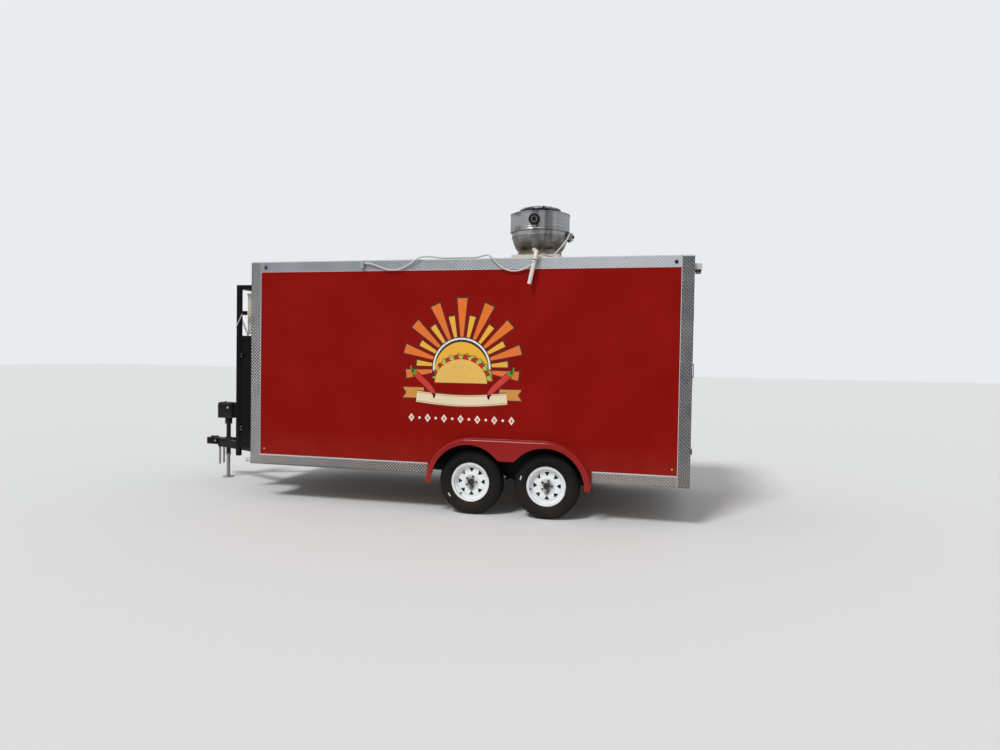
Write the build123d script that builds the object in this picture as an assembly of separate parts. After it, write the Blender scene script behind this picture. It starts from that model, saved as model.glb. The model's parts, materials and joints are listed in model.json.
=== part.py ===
"""Food trailer: a two-axle box trailer with a street side wall, a serving side and a rear door.

Millimetres. X runs along the trailer with the coupler towards -X, the street side is towards -Y,
+Z is up, and the origin is on the ground under the middle of the whole trailer.
"""
import os
from math import cos, pi, radians, sin, tan

from build123d import *

# Body
body_length = 4877
body_width = 2438
body_height = 2297
ground_clearance = 415
wall = 42
roof_thickness = 40
tongue_length = 1450
rear_lamp_out = 80

# Chassis
rail_height = 102
rail_width = 51
rail_spacing = 1830
cross_height = 51
cross_width = 44
cross_count = 9
deck_thickness = 19
tongue_half_angle = 25
tongue_tip_gap = 190
tongue_reach_under = 700
tongue_overlap = 25
tongue_plate = 8

# Wheels and axles
wheel_centre_from_front = 3030
axle_spacing = 820
track_width = 2244
tyre_diameter = 690
tyre_width = 205
rim_flange_radius = 208
drum_radius = 128
backing_plate = 6
spindle_length = 120
disc_radius = 166
window_count = 8
nut_count = 5
nut_circle_radius = 57
running_gap = 0.08
axle_tube_radius = 30
spindle_radius = 22

# Springs
spring_length = 660
spring_rise = 45
leaf_thickness = 7
leaf_width = 44
leaf_shares = (1.0, 0.8, 0.58, 0.38)
hanger_thickness = 6

# Fenders and wheel boxes
fender_out = 88
fender_radius = 470
fender_inner_radius = 410
fender_drop_z = 598
fender_leg_z = 335
fender_sheet = 3
fender_roll = 20
arch_radius = 440
arch_band = 15
wheel_box_inner_y = 945
wheel_box_sheet = 3
wheel_box_top_z = 806

# Aluminium trim
trim = 3
corner_post_width = 118
top_rail_height = 112
bottom_rail_height = 113
rail_over_roof = 60

# Rear door
door_centre_y = -300
door_width = 816
door_head = 206
door_sill_rise = 30
panel_gap = 7
hinge_out = 9
hinge_radius = 7
fixed_knuckle = 24
knuckle_gap = 0.3
rear_hinge_length = 80
rear_hinge_low = 180
rear_hinge_drop = 300

# Serving side
opening_from_front = 1150
opening_length = 2100
opening_sill_z = 1450
opening_head = 272
hatch_hinge_out = 12
shelf_depth = 300
shelf_thickness = 24
frame_width = 38
frame_thickness = 4

# Roof fan
fan_from_front = 3205
fan_from_side = 664
curb_side = 530
curb_height = 92
curb_wall = 22
neck_radius = 245
bowl_radius = 312
band_gap = 18
lid_radius = 230
fan_sheet = 3
fan_wheel_radius = 215
fan_wheel_height = 146
fan_blades = 9
motor_radius = 95
motor_gap = 60
shaft_radius = 12
bowl_rise = 362
band_low_rise = 354
band_top_rise = 558
lid_rise = 598
lid_crown = 44
lid_skin = 8
fan_wheel_rise = 105
port_rise = 461
port_radius = 58
port_hole_radius = 38
pipe_radius = 21
pipe_wall = 3

# Front cage
cage_depth = 515
cage_half_width = 745
cage_top_z = 2505
cage_tube = 50
cage_gap = 16
shelf_z = 1885
panel_sheet = 3
seat_gap = 0.3
side_door_thickness = 25

# Jack and coupler
jack_from_front = 1127
jack_tube_radius = 28.5
jack_leg_radius = 22.5
jack_head_z = 800
jack_travel = 280
ball_radius = 25.4
link_wire = 8
link_length = 44
link_width = 30
link_count = 8
link_slack = 1.7
lug_hole_radius = 8
lug_slack = 2.6
lug_hole_depth = 16
chain_back = 34
chain_y = 44

# Derived places
front_x = tongue_length - (tongue_length + body_length + rear_lamp_out) / 2
rear_x = front_x + body_length
side_y = body_width / 2
bottom_z = ground_clearance
top_z = bottom_z + body_height
deck_z = bottom_z + rail_height
floor_z = deck_z + deck_thickness
wall_top_z = top_z - roof_thickness
edge_y = side_y - wall
axle_mid_x = front_x + wheel_centre_from_front
half_spacing = axle_spacing / 2
well_x0 = axle_mid_x - half_spacing - arch_radius
well_x1 = axle_mid_x + half_spacing + arch_radius
hub_z = tyre_diameter / 2
wheel_y = track_width / 2
rail_y = rail_spacing / 2
fan_x = front_x + fan_from_front
fan_y = -side_y + fan_from_side
windband_radius = bowl_radius + band_gap
opening_x0 = front_x + opening_from_front
opening_x1 = opening_x0 + opening_length
opening_top_z = wall_top_z - opening_head
door_y0 = door_centre_y - door_width / 2
door_y1 = door_centre_y + door_width / 2
door_z0 = floor_z + door_sill_rise
door_z1 = wall_top_z - door_head
door_height = door_z1 - door_z0
rear_hinge_rises = (rear_hinge_low, (door_height - rear_hinge_length) / 2,
                    door_height - rear_hinge_drop)
door_hinge_y = door_y0 - panel_gap / 2
jack_x = front_x - jack_from_front
tongue_tip_x = front_x - tongue_length + tongue_tip_gap
chain_x = tongue_tip_x + chain_back

parts = {}


def span(x0, x1, y0, y1, z0, z1):
    """A block between two corners."""
    return Pos((x0 + x1) / 2, (y0 + y1) / 2, (z0 + z1) / 2) * Box(x1 - x0, y1 - y0, z1 - z0)


def side_span(side, x0, x1, y0, y1, z0, z1):
    """A block given by its distances from the centre plane, on the side -1 or +1."""
    low, high = sorted((side * y0, side * y1))
    return span(x0, x1, low, high, z0, z1)


def fuse(pieces):
    """One shape from a list of touching or crossing shapes."""
    first, *rest = pieces
    return first.fuse(*rest) if rest else first


def group(pieces):
    """Solids that don't touch, kept together."""
    return Compound(children=[solid for piece in pieces for solid in piece.solids()])


def along_y(face, y0, y1):
    """A face drawn as (X, Z) and carried along Y from y0 to y1."""
    placed = Plane(origin=(0, y0, 0), x_dir=(1, 0, 0), z_dir=(0, -1, 0)) * face
    return extrude(placed, y1 - y0, dir=(0, 1, 0))


def spun(points):
    """A closed outline of (radius, height) points, spun about Z."""
    return revolve(make_face(Plane.XZ * Polyline(*points, close=True)), Axis.Z)


def mirror_y(shape):
    """The same shape on the other side of the trailer."""
    return mirror(shape, about=Plane.XZ)


def knuckles(at, axis_turn, length, radius):
    """Two fixed hinge knuckles, one past each end of a moving one of this length about a point."""
    offset = (length + fixed_knuckle) / 2 + knuckle_gap
    return [at * axis_turn * Pos(0, 0, end * offset) * Cylinder(radius, fixed_knuckle)
            for end in (-1, 1)]


def well_outline(radius, low_z):
    """Outline over both wheels: circles about the hubs joined over the top, straight down to low_z."""
    top = hub_z + radius
    outline = Pos(axle_mid_x, (top + low_z) / 2) * Rectangle(axle_spacing, top - low_z)
    for side in (-1, 1):
        hub_x = axle_mid_x + side * half_spacing
        outline += Pos(hub_x, hub_z) * Circle(radius)
        if low_z < hub_z:
            outline += Pos(hub_x, (hub_z + low_z) / 2) * Rectangle(2 * radius, hub_z - low_z)
    keep = Pos(axle_mid_x, low_z + top) * Rectangle(axle_spacing + 3 * radius, 2 * top)
    return outline & keep


# Chassis: end rails, long rails and edge rails between them, cross members, and the A-frame
def tongue_tubes():
    """Two tubes that meet behind the coupler, cut square there, and run back under the floor."""
    lean = radians(tongue_half_angle)
    run = (front_x + tongue_reach_under - tongue_tip_x) / cos(lean)
    corners = [(s * cos(lean) - t * sin(lean), s * sin(lean) + t * cos(lean))
               for s, t in ((-60, 0), (run, 0), (run, rail_width), (-60, rail_width))]
    tube = extrude(make_face(Polyline(*corners, close=True)), rail_height)
    tube = Pos(tongue_tip_x + tongue_overlap, 0, bottom_z) * tube
    both = tube + mirror_y(tube)
    return both - span(tongue_tip_x - 200, tongue_tip_x, -200, 200, 0, top_z)


def chassis():
    """Rails butted face to face, with the A-frame's tubes that run back to the long rails."""
    x0, x1 = front_x + rail_width, rear_x - rail_width
    inner_y = rail_y - rail_width / 2
    pieces = [span(end_x, end_x + rail_width, -edge_y, edge_y, bottom_z, deck_z)
              for end_x in (front_x, x1)]
    for side in (-1, 1):
        pieces.append(side_span(side, x0, x1, inner_y, inner_y + rail_width, bottom_z, deck_z))
        for a, b in ((x0, well_x0 - 8), (well_x1 + 8, x1)):
            pieces.append(side_span(side, a, b, edge_y - rail_width, edge_y, bottom_z, deck_z))
    pieces.append(tongue_tubes() & span(x0, x1, -inner_y, inner_y, bottom_z, deck_z))
    return group(pieces)


def cross_members():
    """Bars under the deck, cut to fit between the long rails, the edge rails and the A-frame."""
    pitch = (body_length - rail_width) / (cross_count + 1)
    inner_y = rail_y - rail_width / 2
    low_z = deck_z - cross_height
    tubes = tongue_tubes()
    pieces = []
    for i in range(1, cross_count + 1):
        x = front_x + rail_width / 2 + i * pitch
        x0, x1 = x - cross_width / 2, x + cross_width / 2
        middle = span(x0, x1, -inner_y, inner_y, low_z, deck_z) - tubes
        pieces.append(middle.solids().sort_by(lambda solid: abs(solid.center().Y))[0])
        if not well_x0 - cross_width < x < well_x1 + cross_width:
            for side in (-1, 1):
                pieces.append(side_span(side, x0, x1, inner_y + rail_width, edge_y - rail_width,
                                        low_z, deck_z))
    return group(pieces)


def tongue():
    """The A-frame ahead of the body, the jack's plate and the lugs of the safety chains."""
    tubes = tongue_tubes() & span(tongue_tip_x, front_x, -side_y, side_y, bottom_z, deck_z)
    plate = span(jack_x - 70, jack_x + 70, -105, 105, deck_z, deck_z + tongue_plate)
    plate -= Pos(jack_x, 0, deck_z) * Cylinder(jack_tube_radius, 60)
    pieces = [tubes, plate]
    for y in (-chain_y, chain_y):
        lug = span(chain_x - 4, chain_x + 4, y - 16, y + 16, bottom_z - 28, bottom_z)
        lug -= Pos(chain_x, y, bottom_z - lug_hole_depth) * Rot(0, 90, 0) \
            * Cylinder(lug_hole_radius, 20)
        pieces.append(lug)
    return fuse(pieces)


def coupler():
    """A ball socket under a formed neck, bolted over the tip of the A-frame, with its latch lever."""
    ball_x = front_x - tongue_length + 48
    nose = Pos(ball_x, 0) * Circle(48)
    neck = make_face(Polyline((ball_x, -48), (tongue_tip_x, -60), (tongue_tip_x, 60), (ball_x, 48),
                              close=True))
    body = Pos(0, 0, bottom_z + 26) * extrude(nose + neck, 86)
    body -= Pos(ball_x, 0, bottom_z + 26) * Cylinder(ball_radius + 1, 60)
    body -= Pos(ball_x, 0, bottom_z + 56) * Sphere(ball_radius + 1)
    body -= span(tongue_tip_x - 90, tongue_tip_x, -42, 42, bottom_z + 26, bottom_z + 88)
    hood = make_face(Polyline((tongue_tip_x, -60), (tongue_tip_x + 60, -84),
                              (tongue_tip_x + 30, 0), (tongue_tip_x + 60, 84),
                              (tongue_tip_x, 60), close=True))
    hood = Pos(0, 0, deck_z) * extrude(hood, 8)
    lever = span(ball_x + 10, ball_x + 120, -10, 10, bottom_z + 120, bottom_z + 132)
    post = span(ball_x + 20, ball_x + 44, -8, 8, bottom_z + 112, bottom_z + 120)
    return fuse([body, hood, post, lever])


def chain_link():
    """One link standing on end: two straight sides and two round ends, of square wire."""
    outer = SlotOverall(link_length, link_width)
    inner = SlotOverall(link_length - 2 * link_wire, link_width - 2 * link_wire)
    return Rot(0, 90, 0) * (Pos(0, 0, -link_wire / 2) * extrude(outer - inner, link_wire))


def chains():
    """Links turned a quarter each way in turn, with a flat hook on the last one."""
    pitch = link_length - 2 * link_wire - link_slack
    first_z = bottom_z - lug_hole_depth - lug_hole_radius + link_wire + lug_slack - link_length / 2
    pieces = []
    for y in (-chain_y, chain_y):
        for i in range(link_count):
            turn = 90 if i % 2 == 0 else 0
            pieces.append(Pos(chain_x, y, first_z - i * pitch) * Rot(0, 0, turn) * chain_link())
    return group(pieces)


parts["chassis_frame"] = chassis()
parts["cross_members"] = cross_members()
parts["tongue_frame"] = tongue()
parts["coupler"] = coupler()
parts["safety_chains"] = chains()


# Jack: power head over a fixed tube, and a leg with a foot that slides in it
leg_length = 420
foot_radius = 75
foot_thickness = 8
tube_low_z = 300
jack_slip = 0.3


def jack_housing():
    tube = Pos(jack_x, 0, (tube_low_z + jack_head_z) / 2) \
        * Cylinder(jack_tube_radius, jack_head_z - tube_low_z)
    collar = Pos(jack_x, 0, deck_z + tongue_plate + 6) * Cylinder(52, 12)
    head = Pos(jack_x - 20, 0, jack_head_z + 105) * Box(240, 140, 210)
    head = fillet(head.edges().filter_by(Axis.Z), 45)
    head = fillet(head.edges().group_by(Axis.Z)[-1], 30)
    skirt = Pos(jack_x, 0, jack_head_z - 40) * Cylinder(46, 80)
    bore_z1 = foot_thickness + leg_length + jack_travel + 30
    bore = Pos(jack_x, 0, (tube_low_z + bore_z1) / 2) \
        * Cylinder(jack_leg_radius + jack_slip, bore_z1 - tube_low_z)
    return fuse([tube, collar, head, skirt]) - bore


def jack_leg():
    leg = Pos(jack_x, 0, foot_thickness + leg_length / 2) * Cylinder(jack_leg_radius, leg_length)
    foot = Pos(jack_x, 0, foot_thickness / 2) * Cylinder(foot_radius, foot_thickness)
    foot = chamfer(foot.edges().group_by(Axis.Z)[-1], 3)
    return leg + foot


parts["jack_housing"] = jack_housing()
parts["jack_leg"] = jack_leg()


# Floor, walls and roof
panel_split_z = hub_z + arch_radius + arch_band


def floor_deck():
    deck = span(front_x + wall, rear_x - wall, -edge_y, edge_y, deck_z, floor_z)
    for side in (-1, 1):
        deck -= side_span(side, well_x0 - 0.3, well_x1 + 0.3, wheel_box_inner_y - 0.3, side_y,
                          deck_z - 1, floor_z + 1)
    return deck


def lower_panels(side):
    """The wall up to just over the wheel arch: two end panels, two arch corners and a strip."""
    arch_top_z = hub_z + arch_radius
    hub_x0, hub_x1 = axle_mid_x - half_spacing, axle_mid_x + half_spacing
    arch = along_y(well_outline(arch_radius, bottom_z - 60), -side_y - 1, side_y + 1)
    pieces = [side_span(side, x0, x1, edge_y, side_y, bottom_z, panel_split_z)
              for x0, x1 in ((front_x, well_x0), (well_x1, rear_x))]
    pieces += [side_span(side, x0, x1, edge_y, side_y, bottom_z, panel_split_z) - arch
               for x0, x1 in ((well_x0, hub_x0), (hub_x1, well_x1))]
    return pieces + [side_span(side, hub_x0, hub_x1, edge_y, side_y, arch_top_z, panel_split_z)]


def street_wall():
    """Panels butted edge to edge."""
    return group([*lower_panels(-1),
                  side_span(-1, front_x, rear_x, edge_y, side_y, panel_split_z, wall_top_z)])


def serving_wall():
    """Panels butted edge to edge, and round the serving opening."""
    hole_x0, hole_x1 = opening_x0 - panel_gap, opening_x1 + panel_gap
    hole_z0, hole_z1 = opening_sill_z - panel_gap, opening_top_z + panel_gap
    return group([*lower_panels(1),
                  side_span(1, front_x, rear_x, edge_y, side_y, panel_split_z, hole_z0),
                  side_span(1, front_x, hole_x0, edge_y, side_y, hole_z0, hole_z1),
                  side_span(1, hole_x1, rear_x, edge_y, side_y, hole_z0, hole_z1),
                  side_span(1, front_x, rear_x, edge_y, side_y, hole_z1, wall_top_z)])


def rear_wall():
    """The end wall with the door's opening and the fixed halves of the door's hinges."""
    slab = span(rear_x - wall, rear_x, -edge_y, edge_y, deck_z, wall_top_z)
    slab -= span(rear_x - wall - 1, rear_x + 1, door_y0 - panel_gap, door_y1 + panel_gap,
                 door_z0 - panel_gap, door_z1 + panel_gap)
    pieces = [slab]
    for rise in rear_hinge_rises:
        at = Pos(rear_x + hinge_out, door_hinge_y, door_z0 + rise)
        pieces += knuckles(at, Rot(0, 0, 0), rear_hinge_length, hinge_radius)
        reach = rear_hinge_length / 2 + fixed_knuckle
        for low, high in ((-reach, -rear_hinge_length / 2 - knuckle_gap),
                          (rear_hinge_length / 2 + knuckle_gap, reach)):
            pieces.append(span(rear_x, rear_x + 4, door_hinge_y - 45, door_hinge_y - 3.5,
                               door_z0 + rise + low, door_z0 + rise + high))
    return fuse(pieces)


def roof():
    slab = span(front_x, rear_x, -side_y, side_y, wall_top_z, top_z)
    inner = curb_side - 2 * curb_wall
    return slab - Pos(fan_x, fan_y, top_z) * Box(inner, inner, 3 * roof_thickness)


parts["floor_deck"] = floor_deck()
parts["wall_street_side"] = street_wall()
parts["wall_serving_side"] = serving_wall()
parts["wall_front"] = span(front_x, front_x + wall, -edge_y, edge_y, deck_z, wall_top_z)
parts["wall_rear"] = rear_wall()
parts["roof"] = roof()


# Aluminium trim: corner posts, then rails between them
def corner_posts():
    """Two legs and a top plate at each corner, edge to edge."""
    pieces = []
    width = corner_post_width
    for end_x, x_dir in ((front_x, 1), (rear_x, -1)):
        x0, x1 = sorted((end_x - x_dir * trim, end_x + x_dir * width))
        leg_x = sorted((end_x - x_dir * trim, end_x))
        for side in (-1, 1):
            pieces.append(side_span(side, x0, x1, side_y, side_y + trim, bottom_z, top_z))
            pieces.append(side_span(side, *leg_x, side_y - width, side_y, bottom_z, top_z))
            pieces.append(side_span(side, x0, x1, side_y - width, side_y + trim,
                                    top_z, top_z + trim))
    return group(pieces)


def top_rails():
    """Angles over the roof's edge: a leg down the wall and a leg over the roof."""
    pieces = []
    x0, x1 = front_x + corner_post_width, rear_x - corner_post_width
    y1 = side_y - corner_post_width
    for side in (-1, 1):
        leg = side_span(side, x0, x1, side_y, side_y + trim, top_z - top_rail_height, top_z + trim)
        pieces.append(leg + side_span(side, x0, x1, side_y - rail_over_roof, side_y,
                                      top_z, top_z + trim))
    for end_x, x_dir in ((front_x, 1), (rear_x, -1)):
        outer = sorted((end_x - x_dir * trim, end_x))
        over = sorted((end_x, end_x + x_dir * rail_over_roof))
        leg = span(*outer, -y1, y1, top_z - top_rail_height, top_z + trim)
        pieces.append(leg + span(*over, -y1, y1, top_z, top_z + trim))
    return group(pieces)


def bottom_rails():
    """Flat rails along the foot of each wall, stopped by the fenders and the door."""
    pieces = []
    x0, x1 = front_x + corner_post_width, rear_x - corner_post_width
    y1 = side_y - corner_post_width
    top = bottom_z + bottom_rail_height
    fender_x0 = axle_mid_x - half_spacing - fender_radius - 4
    fender_x1 = axle_mid_x + half_spacing + fender_radius + 4
    for side in (-1, 1):
        for a, b in ((x0, fender_x0), (fender_x1, x1)):
            pieces.append(side_span(side, a, b, side_y, side_y + trim, bottom_z, top))
    pieces.append(span(front_x - trim, front_x, -y1, y1, deck_z, deck_z + bottom_rail_height))
    for a, b in ((-y1, door_y0 - panel_gap - 30), (door_y1 + panel_gap + 30, y1)):
        pieces.append(span(rear_x, rear_x + trim, a, b, deck_z, deck_z + bottom_rail_height))
    return group(pieces)


parts["corner_posts"] = corner_posts()
parts["top_rails"] = top_rails()
parts["bottom_rails"] = bottom_rails()


# Fenders over both wheels, with a rolled outer edge and a drop between the wheels
def fender():
    outer_y = side_y + fender_out
    outer = along_y(well_outline(fender_radius, fender_leg_z), side_y, outer_y)
    outer = fillet(outer.edges().group_by(Axis.Y)[-1].filter_by(
        lambda e: e.center().Z > fender_leg_z + 1), fender_roll)
    inside = along_y(well_outline(fender_radius - fender_sheet, fender_leg_z - 40),
                     side_y - 1, outer_y - fender_sheet)
    inside = fillet(inside.edges().group_by(Axis.Y)[-1].filter_by(
        lambda e: e.center().Z > fender_leg_z - 39), fender_roll - fender_sheet)
    wheels = well_outline(fender_inner_radius, fender_leg_z - 60)
    between = Pos(axle_mid_x, (fender_drop_z + top_z) / 2) \
        * Rectangle(axle_spacing, top_z - fender_drop_z)
    for side in (-1, 1):
        between -= Pos(axle_mid_x + side * half_spacing, hub_z) * Circle(fender_inner_radius)
    between = fillet(between.vertices().group_by(Axis.Y)[0], 60)
    opening = along_y(wheels - between, side_y - 1, outer_y + 1)
    return outer - inside - opening


def wheel_box(side):
    """Sheets inside the wall over both wheels: a top, an inner side and two ends."""
    sheet = wheel_box_sheet
    inner_y = wheel_box_inner_y + sheet
    low, high = deck_z, wheel_box_top_z - sheet
    return [side_span(side, well_x0, well_x1, wheel_box_inner_y, edge_y, high, wheel_box_top_z),
            side_span(side, well_x0, well_x1, wheel_box_inner_y, inner_y, low, high),
            side_span(side, well_x0, well_x0 + sheet, inner_y, edge_y, low, high),
            side_span(side, well_x1 - sheet, well_x1, inner_y, edge_y, low, high)]


parts["fender_serving_side"] = fender()
parts["fender_street_side"] = mirror_y(parts["fender_serving_side"])
parts["wheel_boxes"] = group(wheel_box(-1) + wheel_box(1))


# Axles and leaf springs
seat_z = hub_z - axle_tube_radius
plate_y = wheel_y - 84


def axle():
    """A tube, and at each end a brake backing plate and a spindle, butted face to face."""
    pieces = [Rot(90, 0, 0) * Cylinder(axle_tube_radius, 2 * plate_y)]
    spindle = spindle_length - backing_plate
    for side in (-1, 1):
        pieces.append(Pos(0, side * (plate_y + backing_plate / 2), 0) * Rot(90, 0, 0)
                      * Cylinder(drum_radius + 8, backing_plate))
        pieces.append(Pos(0, side * (plate_y + backing_plate + spindle / 2), 0) * Rot(90, 0, 0)
                      * Cylinder(spindle_radius, spindle))
    return group(pieces)


def leaf_pack():
    """Four arched leaves, each an arc of one ring, stacked under the axle."""
    half = spring_length / 2
    arch = (half ** 2 + spring_rise ** 2) / (2 * spring_rise)
    faces = []
    for i, share in enumerate(leaf_shares):
        inner = arch + i * leaf_thickness
        ring = Circle(inner + leaf_thickness) - Circle(inner)
        faces.append(ring & Pos(0, -inner) * Rectangle(spring_length * share, 260))
    pack = faces[0] + faces[1:]
    eyes = [Pos(side * half, -arch + spring_rise) * Circle(15) for side in (-1, 1)]
    return Pos(0, 0, seat_z + arch) * along_y(pack + eyes, -leaf_width / 2, leaf_width / 2)


def springs():
    """Two packs a side under the axles, joined by an equaliser, on hangers under the main rail."""
    eye_z = seat_z + spring_rise
    pieces = []
    for side in (-1, 1):
        y = side * rail_y
        row = []
        for axle_side in (-1, 1):
            x = axle_mid_x + axle_side * half_spacing
            row.append(Pos(x, y, 0) * leaf_pack())
            pack_low = seat_z - leaf_thickness * len(leaf_shares)
            row.append(span(x - 50, x + 50, y - 50, y + 50, pack_low - 10, pack_low))
            for bolt_x in (x - 38, x + 38):
                for bolt_y in (y - 32, y + 32):
                    height = hub_z + axle_tube_radius + 8 - pack_low
                    row.append(Pos(bolt_x, bolt_y, pack_low + height / 2) * Cylinder(6, height))
                row.append(span(bolt_x - 6, bolt_x + 6, y - 38, y + 38,
                                hub_z + axle_tube_radius + 0.5, hub_z + axle_tube_radius + 12))
            outer = x + axle_side * spring_length / 2
            for plate_side in (-1, 1):
                plate = y + plate_side * (leaf_width / 2 + hanger_thickness / 2 + 1)
                row.append(span(outer - 28, outer + 28, plate - hanger_thickness / 2,
                                plate + hanger_thickness / 2, eye_z - 26, bottom_z))
            row.append(Pos(outer, y, eye_z) * Rot(90, 0, 0) * Cylinder(7, leaf_width + 24))
        beam = make_face(Polyline((-80, -12), (0, 18), (80, -12), (80, 14), (0, 52), (-80, 14),
                                  close=True))
        row.append(Pos(axle_mid_x, 0, eye_z) * along_y(beam, y - leaf_width / 2,
                                                       y + leaf_width / 2))
        row.append(span(axle_mid_x - 35, axle_mid_x + 35, y - 20, y + 20, eye_z + 30, bottom_z))
        pieces.append(fuse(row))
    return group(pieces)


parts["axles"] = group([Pos(axle_mid_x + s * half_spacing, 0, hub_z) * axle() for s in (-1, 1)])
parts["leaf_springs"] = springs()


# Wheels, drawn about +Z pointing outboard, then turned to each side
tyre_half = tyre_width / 2
tyre_radius = tyre_diameter / 2
bead_radius = rim_flange_radius - 17.7
tyre_side = ((bead_radius, 70.5), (rim_flange_radius + 0.5, 71.3), (rim_flange_radius + 0.5, 80.5),
             (rim_flange_radius + 8, 87), (tyre_radius - 83, tyre_half),
             (tyre_radius - 45, tyre_half - 4), (tyre_radius - 17, tyre_half - 20),
             (tyre_radius, tyre_half - 40))
tyre_points = tyre_side + tuple((r, -y) for r, y in reversed(tyre_side))

rim_outer = ((208, 80), (205, 73.5), (190, 71), (188, 46), (170, 34), (170, 2), (188, -26),
             (190, -71), (205, -73.5), (208, -80))
rim_inner = ((203, -80), (199, -77), (186, -74), (184, -28), (disc_radius, -2),
             (disc_radius, 30), (184, 48), (186, 74), (199, 77), (203, 80))
disc_points = ((34, 30), (82, 30), (90, 22), (120, 25), (150, 20), (168, 10), (168, 5),
               (149, 15), (120, 20), (89, 17), (80, 25), (34, 25))
hub_points = ((0, 74), (24, 74), (31, 68), (33.5, 60), (33.5, 24.7), (72, 24.7),
              (72, 14), (44, 10), (44, -4), (drum_radius, -4), (drum_radius, -72),
              (drum_radius - 8, -72), (drum_radius - 8, -12), (40, -12), (40, -70),
              (spindle_radius + running_gap, -70), (spindle_radius + running_gap, 44),
              (0, 44))


def tyre():
    return spun(tyre_points)


def rim():
    """A rolled barrel and a pressed disc with eight windows whose points aim at the hub."""
    barrel = spun(rim_outer + rim_inner)
    window = make_face(Polyline((100, 0), (143, -29), (147, 0), (143, 29), close=True))
    window = fillet(window.vertices(), 4)
    disc = spun(disc_points)
    disc -= [Rot(0, 0, i * 360 / window_count) * extrude(window, 60) for i in range(window_count)]
    return barrel + disc


def hub():
    """A brake drum, its flange and dust cap, and five nuts on the studs."""
    body = spun(hub_points)
    nut = extrude(RegularPolygon(11, 6), 18)
    nuts = [Rot(0, 0, i * 360 / nut_count) * Pos(nut_circle_radius, 0, 30.1) * nut
            for i in range(nut_count)]
    studs = [Rot(0, 0, i * 360 / nut_count) * Pos(nut_circle_radius, 0, 14)
             * extrude(Circle(5), 30) for i in range(nut_count)]
    return fuse([body, *studs, *nuts])


stud_holes = [Rot(0, 0, i * 360 / nut_count) * Pos(nut_circle_radius, 0, 10)
              * extrude(Circle(5.3), 30) for i in range(nut_count)]
wheel_shapes = {"tyre": tyre(), "rim": rim() - stud_holes, "hub": hub()}
for place, axle_side in (("front", -1), ("rear", 1)):
    for side_name, side in (("street", -1), ("serving", 1)):
        for name, shape in wheel_shapes.items():
            parts[f"{name}_{place}_{side_name}"] = Pos(
                axle_mid_x + axle_side * half_spacing, side * wheel_y, hub_z) \
                * Rot(-90 * side, 0, 0) * shape


# Roof fan: curb, bowl, windband, lid with its motor, and the wheel that turns
curb_top = top_z + curb_height
bowl_low = curb_top
bowl_top = top_z + bowl_rise
band_low = top_z + band_low_rise
band_top = top_z + band_top_rise
lid_low = top_z + lid_rise
lid_under = lid_low + lid_crown - lid_skin
fan_wheel_low = curb_top + fan_wheel_rise
motor_low = fan_wheel_low + fan_wheel_height + motor_gap + 4


def at_fan(shape):
    return Pos(fan_x, fan_y, 0) * shape


def curb():
    inner = curb_side - 2 * curb_wall
    walls = Box(curb_side, curb_side, curb_height) - Box(inner, inner, curb_height + 2)
    return at_fan(Pos(0, 0, top_z + curb_height / 2) * walls)


def bowl():
    """A flat base on the curb, a neck, and a spun bowl that flares to the windband."""
    sheet = fan_sheet
    outer = ((curb_side / 2 - 8, bowl_low), (curb_side / 2 - 8, bowl_low + 4),
             (neck_radius, bowl_low + 4), (neck_radius, bowl_low + 62),
             (neck_radius + 28, bowl_low + 98), (bowl_radius - 18, bowl_low + 148),
             (bowl_radius, bowl_low + 205), (bowl_radius, bowl_top))
    inner = ((bowl_radius - sheet, bowl_top), (bowl_radius - sheet, bowl_low + 205),
             (bowl_radius - 18 - sheet, bowl_low + 149), (neck_radius + 26, bowl_low + 101),
             (neck_radius - sheet, bowl_low + 64), (neck_radius - sheet, bowl_low))
    return at_fan(spun(outer + inner))


def windband():
    """A drum round the bowl's mouth, beaded at its foot and rolled at its rim, with a round port."""
    r, sheet = windband_radius, fan_sheet
    points = ((bowl_radius + 0.3, band_low), (r - 6, band_low), (r + 4, band_low + 10),
              (r, band_low + 22), (r + 3, band_low + 34), (r, band_low + 42), (r, band_top - 14),
              (r + 5, band_top - 8), (r + 5, band_top), (r - sheet, band_top),
              (r - sheet, band_low + 14), (bowl_radius + 0.3, band_low + 8))
    port_z = top_z + port_rise
    port = Rot(90, 0, 0) * (Circle(port_radius) - Circle(port_hole_radius))
    port = Pos(0, -r - 26, port_z) * extrude(port, 30, dir=(0, 1, 0))
    plug = Pos(0, -r - 12, port_z) * Rot(90, 0, 0) * Cylinder(port_hole_radius, 16)
    return at_fan(spun(points) + port + plug)


def lid():
    """A shallow cap over the motor, which stands on four arms inside the windband."""
    low = lid_low
    cap = spun(((0, low + lid_crown), (lid_radius - 60, low + 38), (lid_radius - 8, low + 22),
                (lid_radius, low + 16), (lid_radius, low), (lid_radius - 5, low),
                (lid_radius - 5, low + 14), (lid_radius - 60, low + 38 - lid_skin),
                (0, lid_under)))
    motor = Pos(0, 0, (motor_low + lid_under) / 2) * Cylinder(motor_radius, lid_under - motor_low)
    shaft_bore = Pos(0, 0, motor_low + 20) * Cylinder(shaft_radius + running_gap, 80)
    arms = [Rot(0, 0, 45 + i * 90) * span(motor_radius - 5, windband_radius - fan_sheet - 0.3,
                                         -12, 12, band_top - 40, band_top - 32)
            for i in range(4)]
    return at_fan(fuse([cap, motor, *arms]) - shaft_bore)


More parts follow.
